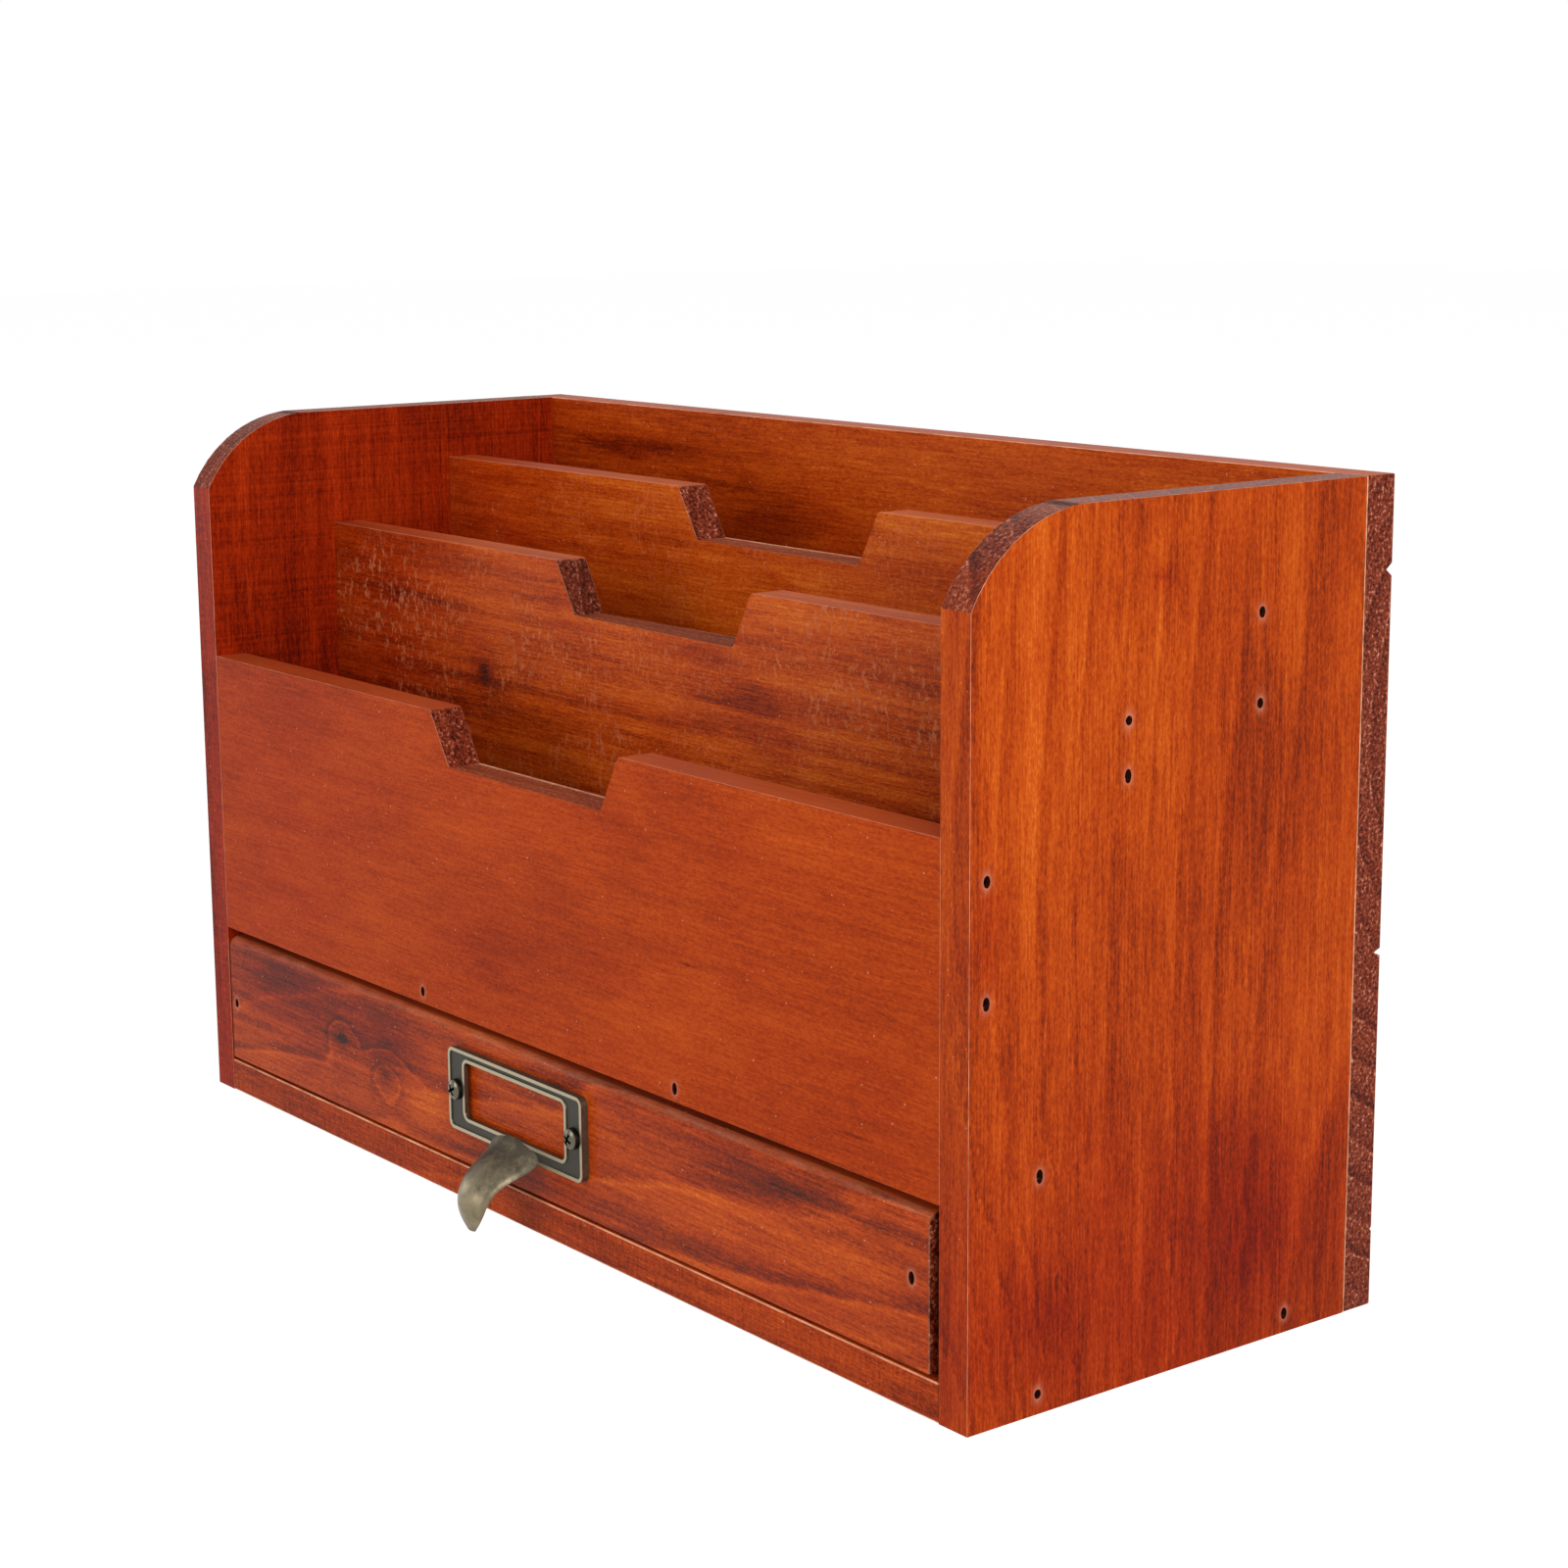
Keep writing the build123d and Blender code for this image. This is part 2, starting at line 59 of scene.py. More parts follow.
MM = 0.001
HAIR = 0.01 * MM  # two places nearer than this are the same one
CLEAR = 1.0 * MM  # how far a cutter stands clear of what it cuts
MOST_RIMS = 12  # rims round brad holes that one board's material draws, since each one costs nodes
RIM_SPREAD = (1.25, 1.25, 1.75)  # a rim's reach along X, Y and Z, in millimetres
LEFT, RIGHT = Vector((-1, 0, 0)), Vector((1, 0, 0))
FRONT, BACK = Vector((0, -1, 0)), Vector((0, 1, 0))
SMOOTH = {"interpolation_type": "SMOOTHSTEP"}
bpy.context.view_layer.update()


# ---- Shared tools ----


def linear_rgba(hex_colour: str) -> tuple[float, float, float, float]:
    """Turns an sRGB colour into the linear one that a shader takes.

    Args:
        hex_colour: six hex digits, such as "B34010".

    Returns:
        Linear red, green and blue, with full alpha.
    """
    channels = []
    for start in (0, 2, 4):
        value = int(hex_colour[start:start + 2], 16) / 255
        channels.append(value / 12.92 if value <= 0.04045 else ((value + 0.055) / 1.055) ** 2.4)
    return (*channels, 1.0)


def add_node(tree: NodeTree, kind: str, links: dict | None = None, output: int | str = 0, **settings):
    """Adds a shader node with its settings and links.

    Args:
        tree: the node tree that it goes into.
        kind: the node's type, without the "ShaderNode" that starts them all.
        links: input name or number to a socket, which is linked, or to a constant.
        output: the output that the caller goes on with.
        **settings: the node's own properties.

    Returns:
        The chosen output socket, or the node where it has no outputs.
    """
    made = tree.nodes.new(f"ShaderNode{kind}")
    for key, value in settings.items():
        setattr(made, key, value)
    for key, value in (links or {}).items():
        if isinstance(value, NodeSocket):
            tree.links.new(value, made.inputs[key])
        else:
            made.inputs[key].default_value = value
    return made.outputs[output] if len(made.outputs) else made


def set_ramp(socket: NodeSocket, stops: dict[float, str | float], interpolation: str = "LINEAR") -> None:
    """Fills a colour ramp.

    Args:
        socket: an output of the Color Ramp node.
        stops: each stop's position, with its colour as six hex digits or its grey as a linear level.
        interpolation: how it runs from stop to stop.
    """
    ramp = socket.node.color_ramp
    ramp.interpolation = interpolation
    while len(ramp.elements) < len(stops):
        ramp.elements.new(0.5)
    for element, (position, colour) in zip(ramp.elements, stops.items()):
        element.position = position
        element.color = linear_rgba(colour) if isinstance(colour, str) else (colour, colour, colour, 1)


def new_material(name: str) -> tuple[Material, NodeTree]:
    """Makes an empty node material.

    Args:
        name: the material's name.

    Returns:
        The material and its node tree.
    """
    material = bpy.data.materials.new(name)
    material.use_nodes = True
    material.node_tree.nodes.clear()
    return material, material.node_tree


def deselect_all() -> None:
    """Leaves nothing selected, so that an operator acts only on what comes next."""
    if bpy.context.object is not None and bpy.context.object.mode != "OBJECT":
        bpy.ops.object.mode_set(mode="OBJECT")
    bpy.ops.object.select_all(action="DESELECT")


def make_active(piece: Object) -> None:
    """Selects one piece alone and makes it the active one."""
    deselect_all()
    piece.select_set(True)
    bpy.context.view_layer.objects.active = piece


def apply_place(piece: Object) -> None:
    """Moves a piece's place, turn and scale into its mesh."""
    make_active(piece)
    bpy.ops.object.transform_apply(location=True, rotation=True, scale=True)


def add_box(name: str, low: Vector, high: Vector) -> Object:
    """Adds a box between two corners, with its place in its mesh.

    Args:
        name: the piece's name.
        low: the lowest corner, in metres.
        high: the highest corner, in metres.

    Returns:
        The box.
    """
    deselect_all()
    bpy.ops.mesh.primitive_cube_add(size=1, location=(low + high) / 2)
    piece = bpy.context.object
    piece.name = name
    piece.scale = high - low
    apply_place(piece)
    return piece


def use_modifier(piece: Object, kind: str, **settings) -> None:
    """Adds a modifier with its settings and applies it.

    Args:
        piece: the mesh that it shapes.
        kind: the modifier's type.
        **settings: the modifier's own properties.
    """
    make_active(piece)
    modifier = piece.modifiers.new(kind.lower(), kind)
    for key, value in settings.items():
        setattr(modifier, key, value)
    bpy.ops.object.modifier_apply(modifier=modifier.name)


def cut_away(piece: Object, cutter: Object) -> None:
    """Cuts the cutter's shape out of a piece and deletes the cutter."""
    use_modifier(piece, "BOOLEAN", operation="DIFFERENCE", solver="EXACT", object=cutter)
    bpy.data.objects.remove(cutter, do_unlink=True)


def select_in_edit_mode(piece: Object, domain: str, wanted: Callable) -> None:
    """Opens a piece in edit mode with some of its elements selected.

    Args:
        piece: the mesh.
        domain: "verts", "edges" or "faces".
        wanted: says of one element whether it is selected.
    """
    make_active(piece)
    bpy.ops.object.mode_set(mode="EDIT")
    bpy.ops.mesh.select_mode(type={"verts": "VERT", "edges": "EDGE", "faces": "FACE"}[domain])
    bpy.ops.mesh.select_all(action="DESELECT")
    mesh = bmesh.from_edit_mesh(piece.data)
    for element in getattr(mesh, domain):
        if wanted(element):
            element.select_set(True)
    mesh.select_flush_mode()
    bmesh.update_edit_mesh(piece.data)


def slice_whole(piece: Object, point: Vector, normal: Vector, clear_outer: bool = False) -> None:
    """Bisects a whole mesh by a plane.

    Args:
        piece: the mesh.
        point: a point on the plane.
        normal: the plane's normal.
        clear_outer: whether what lies on the normal's side is cut off and the cut closed.
    """
    select_in_edit_mode(piece, "faces", lambda face: True)
    bpy.ops.mesh.bisect(plane_co=point, plane_no=normal, use_fill=clear_outer, clear_outer=clear_outer)
    bpy.ops.object.mode_set(mode="OBJECT")


def shade_piece(piece: Object, angle: float = math.radians(35)) -> None:
    """Smooths the rounded edges and keeps the flat faces flat."""
    make_active(piece)
    bpy.ops.object.shade_smooth_by_angle(angle=angle)
    use_modifier(piece, "WEIGHTED_NORMAL", keep_sharp=True, weight=100)


def meet(value: float, other: float, reach: float = HAIR) -> bool:
    """Says whether two places along an axis are the same one."""
    return abs(value - other) < reach


def round_edges(piece: Object, radius: float, segments: int, wanted: Callable) -> None:
    """Rounds some of a piece's edges.

    Args:
        piece: the mesh.
        radius: how far the rounding reaches on each face, in metres.
        segments: how many facets it has.
        wanted: says of one edge whether it is rounded.
    """
    select_in_edit_mode(piece, "edges", wanted)
    bpy.ops.mesh.bevel(offset=radius, segments=segments, affect="EDGES")
    bpy.ops.object.mode_set(mode="OBJECT")


def soften(piece: Object, width: float, segments: int, angle: float) -> None:
    """Softens the edges that are sharper than an angle in degrees."""
    limit = {"limit_method": "ANGLE", "angle_limit": math.radians(angle)}
    use_modifier(piece, "BEVEL", width=width, segments=segments, **limit)


def dress(piece: Object, *materials: Material) -> None:
    """Gives a piece its materials, in the order of its slots."""
    piece.data.materials.clear()
    for material in materials:
        piece.data.materials.append(material)


# ---- Finishes ----


class GrainRun(Enum):
    """The way a board's grain runs: the axes across its face, through its thickness and along its grain."""

    UPRIGHT_SIDE = ("Y", "X", "Z")
    LEVEL_PANEL = ("Z", "Y", "X")
    FLAT_BOARD = ("Y", "Z", "X")
    DRAWER_SIDE = ("Z", "X", "Y")


@dataclass(frozen=True)
class Mark:
    """A knot, a streak, a patch of stain or a patch of painted shade on a board's face, in millimetres from the board's
    centre.

    Attributes:
        across: its place across the grain.
        along: its place along the grain.
        width: its spread across the grain.
        length: its spread along the grain.
        shade: how much darker it makes the wood, or paler where it is below zero.
        core: how much darker its very middle is.
        push: how far it pushes the growth rings aside.
        red: how much redder the stain is in it.
        pale: how far bare torn fibres show in it.
    """

    across: float
    along: float
    width: float
    length: float
    shade: float = 0.0
    core: float = 0.0
    push: float = 0.0
    red: float = 0.0
    pale: float = 0.0


# Stain from thin to thick, where the wood takes it orange and where it takes it ruby red
ORANGE_STAIN = {0.0: "E67E26", 0.22: "D25E14", 0.45: "B84408", 0.7: "862A03", 1.0: "341006"}
RUBY_STAIN = {0.0: "CC4A14", 0.22: "B8350A", 0.45: "9C2603", 0.7: "701402", 1.0: "2C0905"}
# End grain from its open pores to the painted glints between them
END_GRAIN_AND_GLINTS = {0.0: "2E0B05", 0.40: "782912", 0.75: "9C482C", 1.0: "D9987C"}
# One growth ring from spring to winter: a thin pale line, even wood and a dark late line
RING_PROFILE = {0.0: 0.0, 0.1: 0.42, 0.55: 0.5, 0.88: 1.0, 1.0: 0.0}
NIBS, PORES = 0.48, 1.1  # how many lie in a millimetre
KNOT_CORE = 9.0  # how much steeper a mark's core falls off than the mark


@dataclass(frozen=True)
class StainedWood:
    """Planed softwood under a red-brown wiping stain and a sprayed satin varnish.

    To the eye: orange-red wood with soft darker growth rings and thin pale lines between them, fibres and pits that
    the stain has caught, redder blotches, nibs and dust in the varnish, and a low shine. Sawn edges and end grain
    drink more stain: they are dark brown, open and speckled. Highlights are painted into the colour: small glints on
    the end grain, the nibs and the torn fibres, pale lines along the arrises and a sheen on the edges that face up.

    Attributes:
        name: the material's name.
        grain: the way its grain runs.
        seed: where in the log the board was cut.
        pith: the middle of the rings, across and through, in millimetres from the board's centre.
        taper: how fast the rings widen along the grain.
        ring_spacing: how far apart the rings are, in millimetres.
        ring_warp: how far they wander, in millimetres.
        rings: how much they darken the wood. Streaks, blotches, fibres, pits and saw_lines are the same.
        streak_width: how wide a streak is, in millimetres.
        reds: how much the redness changes from place to place.
        tone: how much darker the whole board is.
        redness: how red it is on the whole.
        bump: how much relief shows.
        shine: how much the varnish shines.
        torn: how bright the painted glints on the torn fibres are.
        wear: how far the arrises are paled, by stain rubbed thin and by a painted highlight along them.
        marks: its knots, streaks and patches, some of them painted shade.
    """

    name: str
    grain: GrainRun
    seed: float = 1.0
    pith: tuple[float, float] = (20.0, 70.0)
    taper: float = 0.06
    ring_spacing: float = 8.0
    ring_warp: float = 14.0
    rings: float = 0.20
    streaks: float = 0.55
    streak_width: float = 5.0
    blotches: float = 0.55
    fibres: float = 0.75
    pits: float = 0.75
    reds: float = 0.9
    tone: float = 0.0
    redness: float = 0.10
    bump: float = 0.40
    shine: float = 0.08
    torn: float = 0.0
    wear: float = 0.95
    saw_lines: float = 0.0
    marks: tuple[Mark, ...] = ()

    def build(self, centre: Vector, sawn: bool = False) -> Material:
        """Makes the material for one board.

        Args:
            centre: the board's centre in metres, from which marks and rings are placed.
            sawn: whether this is a rough sawn edge, which looks like end grain whichever way it faces.

        Returns:
            The material.
        """
        material, tree = new_material(f"{self.name}_sawn_edge" if sawn else self.name)
        add = partial(add_node, tree)
        place = add("TexCoord", output="Object")
        facing = add("TexCoord", output="Normal")
        start = tuple(-value / MM for value in centre)
        millimetres = add("Mapping", {"Vector": place, "Location": start, "Scale": (1 / MM,) * 3})
        axes = add("SeparateXYZ", {0: millimetres}).node.outputs
        normals = add("SeparateXYZ", {0: facing}).node.outputs
        across, through, along = (axes[name] for name in self.grain.value)
        _, face_normal, grain_normal = (normals[name] for name in self.grain.value)
        point = add("CombineXYZ", {0: across, 1: through, 2: along})

        def pattern(size: tuple[float, float, float], detail: float = 2.0, rough: float = 0.5, shift: float = 0.0):
            """Gives a noise whose features have a size in millimetres across, through and along the grain."""
            scaled = add("VectorMath", {0: point, 1: tuple(1 / value for value in size)}, operation="MULTIPLY")
            inputs = {"Vector": scaled, "W": self.seed + shift, "Scale": 1.0, "Detail": detail, "Roughness": rough}
            return add("TexNoise", inputs, noise_dimensions="4D")

        def plus(base: NodeSocket | float, *shares: tuple[NodeSocket, float]):
            """Adds patterns to a base, each by its own amount."""
            for socket, amount in shares:
                base = add("Math", {0: socket, 1: amount, 2: base}, operation="MULTIPLY_ADD")
            return base

        # Growth rings about the pith, warped, tapered along the grain and pushed aside by marks
        radius = add("VectorMath", {0: point, 1: (*self.pith, 0.0)}, operation="SUBTRACT")
        radius = add("VectorMath", {0: radius, 1: (1.0, 1.0, 0.0)}, operation="MULTIPLY")
        radius = add("VectorMath", {0: radius}, output="Value", operation="LENGTH")
        wander, ripple = pattern((60, 60, 200)), pattern((9, 9, 70), shift=3)
        radius = plus(radius, (along, self.taper), (wander, self.ring_warp), (ripple, 2.2))
        shade = pale = 0.0
        red = self.redness - self.reds / 2
        ragged = plus(0.35, (pattern((5, 5, 11), 3.0, 0.6, 5), 1.3))
        for mark in self.marks:
            offset = add("VectorMath", {0: point, 1: (mark.across, 0, mark.along)}, operation="SUBTRACT")
            shrink = (1 / mark.width, 0, 1 / mark.length)
            offset = add("VectorMath", {0: offset, 1: shrink}, operation="MULTIPLY")
            square = add("VectorMath", {0: offset, 1: offset}, output="Value", operation="DOT_PRODUCT")
            square = add("Math", {0: square, 1: ragged}, operation="MULTIPLY")
            spread = add("Math", {0: math.exp(-1.0), 1: square}, operation="POWER")
            if mark.push:
                radius = plus(radius, (spread, mark.push))
            if mark.shade:
                shade = plus(shade, (spread, mark.shade))
            if mark.core:
                core = add("Math", {0: spread, 1: KNOT_CORE}, operation="POWER")
                shade = plus(shade, (core, mark.core))
            if mark.red:
                red = plus(red, (spread, mark.red))
            if mark.pale:
                pale = plus(pale, (spread, mark.pale))

        phase = add("Math", {0: radius, 1: self.ring_spacing}, operation="DIVIDE")
        profile = add("ValToRGB", {0: add("Math", {0: phase}, operation="FRACT")})
        set_ramp(profile, RING_PROFILE, "EASE")
        number = add("Math", {0: phase}, operation="FLOOR")
        strength = plus(0.25, (add("TexWhiteNoise", {"W": number}, noise_dimensions="1D"), 0.75))
        rings = add("Math", {0: profile, 1: 0.45}, operation="SUBTRACT")
        rings = add("Math", {0: rings, 1: strength}, operation="MULTIPLY")

        # Each pattern darkens or pales the stain about its middle tone
        fibre = pattern((0.55, 0.55, 12), 3.0, 0.62, 7)
        pit = pattern((0.55, 0.55, 1.3), 2.0, 0.65, 9)
        shares = [
            (pattern((self.streak_width, self.streak_width, 160), 4.0, 0.6, 11), self.streaks),
            (pattern((34, 34, 80), 3.0, 0.55, 13), self.blotches),
            (fibre, self.fibres),
            (pit, self.pits),
        ]
        if self.saw_lines:
            shares.append((pattern((70, 5, 0.8), 2.0, 0.6, 15), self.saw_lines))
        middle_tone = 0.42 + self.tone - sum(share for _, share in shares) / 2
        total = add("Math", {0: plus(shade, (rings, self.rings), *shares), 1: middle_tone})
        orange, ruby = add("ValToRGB", {0: total}), add("ValToRGB", {0: total})
        set_ramp(orange, ORANGE_STAIN)
        set_ramp(ruby, RUBY_STAIN)
        red = plus(red, (pattern((26, 26, 60), 3.0, 0.6, 17), self.reds))
        layers = [(add("Math", {0: red, 1: 0.0}, use_clamp=True), ruby)]
        if any(mark.pale for mark in self.marks):
            layers.append((add("Math", {0: pale, 1: 0.85}, operation="MINIMUM"), linear_rgba("DA9474")))

        # Nibs in the varnish lie about 2 mm apart; the glints they catch are painted in as tiny pale points
        nibs = add("TexVoronoi", {"Vector": millimetres, "Scale": NIBS}).node
        size = add("SeparateColor", {0: nibs.outputs["Color"]})
        size = add("MapRange", {"Value": size, "From Min": 0.55, "To Max": 0.13})
        nib_and_glint = add("Math", {0: nibs.outputs["Distance"], 1: size}, operation="LESS_THAN")
        nib_and_glint = add("Math", {0: nib_and_glint, 1: 0.5}, operation="MULTIPLY")
        layers.append((nib_and_glint, linear_rgba("F0AC8C")))

        reliefs = [(nib_and_glint, 1.4)]
        if self.torn:
            # Torn fibres that the varnish has left standing, in drifts: their relief is real, and their glints are
            # painted in as small pale flecks
            fleck, drift = pattern((2.6, 2.0, 1.5), 3.0, 0.72, 23), pattern((22, 22, 26), 2.0, 0.5, 25)
            fleck = add("MapRange", {"Value": fleck, "From Min": 0.53, "From Max": 0.62, "To Max": self.torn})
            drift = add("MapRange", {"Value": drift, "From Min": 0.42, "From Max": 0.6})
            torn_fleck_and_glint = add("Math", {0: fleck, 1: drift}, operation="MULTIPLY")
            layers.append((torn_fleck_and_glint, linear_rgba("DC7E50")))
            reliefs.append((torn_fleck_and_glint, 1.0))

        # Sawn and end grain: open pores with a painted glint here and there, and the rings as darker bands
        pores = add("TexNoise", {"Vector": millimetres, "Scale": PORES, "Detail": 4.0, "Roughness": 0.7})
        pores = plus(pores, (rings, -0.15))
        pores = plus(-1.15 - 0.3 * self.tone, (pores, 3.2))
        end = add("ValToRGB", {0: pores})
        set_ramp(end, END_GRAIN_AND_GLINTS)
        end_share = add("Math", {0: grain_normal}, operation="ABSOLUTE")
        end_share = add("MapRange", {"Value": end_share, "From Min": 0.35, "From Max": 0.75}, **SMOOTH)
        if sawn:
            end_share = add("Math", {0: end_share, 1: 0.85}, operation="MAXIMUM")
        layers.append((end_share, end))
        open_grain = add("Math", {0: pores, 1: end_share}, operation="MULTIPLY")
        reliefs = [(fibre, 0.6), (pit, 0.7), (open_grain, 1.6)] + reliefs

        # Where a face rolls over into an edge the stain is rubbed thin and paler, and a painted highlight pales it
        # further
        face_share = add("Math", {0: face_normal}, operation="ABSOLUTE")
        edge_share = add("Math", {0: 1.0, 1: face_share}, operation="SUBTRACT")
        arris = add("Math", {0: edge_share, 1: face_share}, operation="MULTIPLY")
        arris = add("MapRange", {"Value": arris, "From Min": 0.06, "From Max": 0.22, "To Max": self.wear}, **SMOOTH)
        worn = plus(-0.3, (pattern((2.5, 2.5, 7), 2.0, 0.6, 19), 2.0))
        arris = add("Math", {0: arris, 1: worn}, operation="MULTIPLY", use_clamp=True)
        layers.append((arris, linear_rgba("FFC098")))

        # A painted sheen pales the edges that face up, standing in for the bright room that they reflect
        upward_sheen = add("MapRange", {"Value": normals["Z"], "From Min": 0.88, "From Max": 0.98}, **SMOOTH)
        upward_sheen = add("Math", {0: upward_sheen, 1: edge_share}, operation="MULTIPLY")
        upward_sheen = add("Math", {0: upward_sheen, 1: plus(-0.45, (pit, 1.3))}, operation="MULTIPLY", use_clamp=True)
        layers.append((upward_sheen, linear_rgba("C46A44")))

        colour = orange
        for share, layer in layers:
            colour = add("Mix", {"Factor": share, "A": colour, "B": layer}, output=2, data_type="RGBA")
        depth = {"Distance": 0.3 * MM}
        relief = add("Bump", {"Height": plus(0.0, *reliefs), "Strength": self.bump, **depth})
        ripples = pattern((3.0, 3.0, 8.0), 2.0, 0.5, 21)
        film = add("Bump", {"Height": ripples, "Strength": 0.3, "Normal": relief, **depth})
        roughness = add("MapRange", {"Value": end_share, "To Min": 0.48, "To Max": 0.40})
        body = {"Base Color": colour, "Roughness": roughness, "Normal": relief, "IOR": 1.45, "Specular IOR Level": 0.05}
        coat = {"Coat Weight": self.shine, "Coat Roughness": 0.26, "Coat Normal": film}
        add("OutputMaterial", {"Surface": add("BsdfPrincipled", {**body, **coat})})
        return material


@dataclass(frozen=True)
class SpeckledStuff:
    """A small dark thing, of which the eye gets no more than specks of two colours.

    Attributes:
        name: the material's name.
        specks: how fine the specks are, as a noise scale per metre.
        stops: the two colours and where they stand.
        surface: the shader's other inputs.
    """

    name: str
    specks: float
    stops: dict[float, str]
    surface: dict[str, float]

    def build(self) -> Material:
        """Makes the material.

        Returns:
            The material.
        """
        material, tree = new_material(self.name)
        place = add_node(tree, "TexCoord", output="Object")
        specks = add_node(tree, "TexNoise", {"Vector": place, "Scale": self.specks, "Detail": 2.0})
        colour = add_node(tree, "ValToRGB", {0: specks})
        set_ramp(colour, self.stops, "EASE")
        shader = add_node(tree, "BsdfPrincipled", {"Base Color": colour, **self.surface})
        add_node(tree, "OutputMaterial", {"Surface": shader})
        return material


# The wall of a brad's hole: painted shade, dull and nearly black, for the dark down in the hole
BRAD_HOLE_SHADE = SpeckledStuff(
    "brad_hole_wall_painted_shade", 1800.0, {0.3: "120604", 0.75: "46170B"}, {"Roughness": 0.8, "Specular IOR Level": 0.1}
)
# Drawn steel wire of the brads, dull, painted dark for the shade in their holes
SHADED_BRAD_STEEL = SpeckledStuff(
    "drawn_steel_brad_painted_shade", 1600.0, {0.35: "0C0705", 0.7: "2C1810"}, {"Metallic": 0.6, "Roughness": 0.55}
)


@dataclass(frozen=True)
class AntiqueBrass:
    """Die-cast brass, darkened all over in a bath and then rubbed back.

    To the eye: a grey-brown, faintly grainy skin, with warm bright metal on what stands proud.

    Attributes:
        name: the material's name.
        skin: the darkened colour.
        rubbed: the bright colour.
        rub_from: where front to back, in metres, the rubbing starts.
        rub_to: where it is complete.
        wear: how far clouds of rubbing cover the rest.
        edge_rub: how far edges that face away from the front are rubbed.
        roughness: the middle of the roughness, which falls where the metal is bright.
    """

    name: str
    skin: str = "46433D"
    rubbed: str = "B4A98C"
    rub_from: float = 0.0
    rub_to: float = 1.0
    wear: float = 0.0
    edge_rub: float = 0.0
    roughness: float = 0.42

    def build(self) -> Material:
        """Makes the material, rubbed bright where it stands out towards the front.

        Returns:
            The material.
        """
        material, tree = new_material(self.name)
        add = partial(add_node, tree)
        place = add("TexCoord", output="Object")
        depth = add("SeparateXYZ", {0: place}, output="Y")
        grain = add("TexNoise", {"Vector": place, "Scale": 900.0, "Detail": 3.0, "Roughness": 0.6})
        cloud = add("TexNoise", {"Vector": place, "Scale": 160.0, "Detail": 3.0, "Roughness": 0.55})
        proud = add("MapRange", {"Value": depth, "From Min": self.rub_from, "From Max": self.rub_to}, **SMOOTH)
        cloud = add("Math", {0: cloud, 1: 2.4, 2: -0.9}, operation="MULTIPLY_ADD")
        worn = add("Math", {0: cloud, 1: self.wear}, operation="MULTIPLY")
        if self.edge_rub:
            facing = add("SeparateXYZ", {0: add("TexCoord", output="Normal")}, output="Y")
            facing = add("Math", {0: facing}, operation="ABSOLUTE")
            inputs = {"Value": facing, "From Min": 0.9, "From Max": 0.2, "To Max": self.edge_rub}
            proud = add("Math", {0: proud, 1: add("MapRange", inputs, **SMOOTH)}, operation="MAXIMUM")
        bright = add("Math", {0: proud, 1: worn}, operation="ADD", use_clamp=True)
        bright = add("Math", {0: grain, 1: -0.35, 2: bright}, operation="MULTIPLY_ADD", use_clamp=True)
        ends = {"A": linear_rgba(self.skin), "B": linear_rgba(self.rubbed)}
        colour = add("Mix", {"Factor": bright, **ends}, output=2, data_type="RGBA")
        ends = {"To Min": self.roughness + 0.12, "To Max": self.roughness - 0.14}
        roughness = add("MapRange", {"Value": bright, **ends})
        relief = add("Bump", {"Height": grain, "Strength": 0.30, "Distance": 0.08 * MM})
        inputs = {"Base Color": colour, "Metallic": 1.0, "Roughness": roughness, "Normal": relief}
        add("OutputMaterial", {"Surface": add("BsdfPrincipled", inputs)})
        return material


# ---- Boards ----


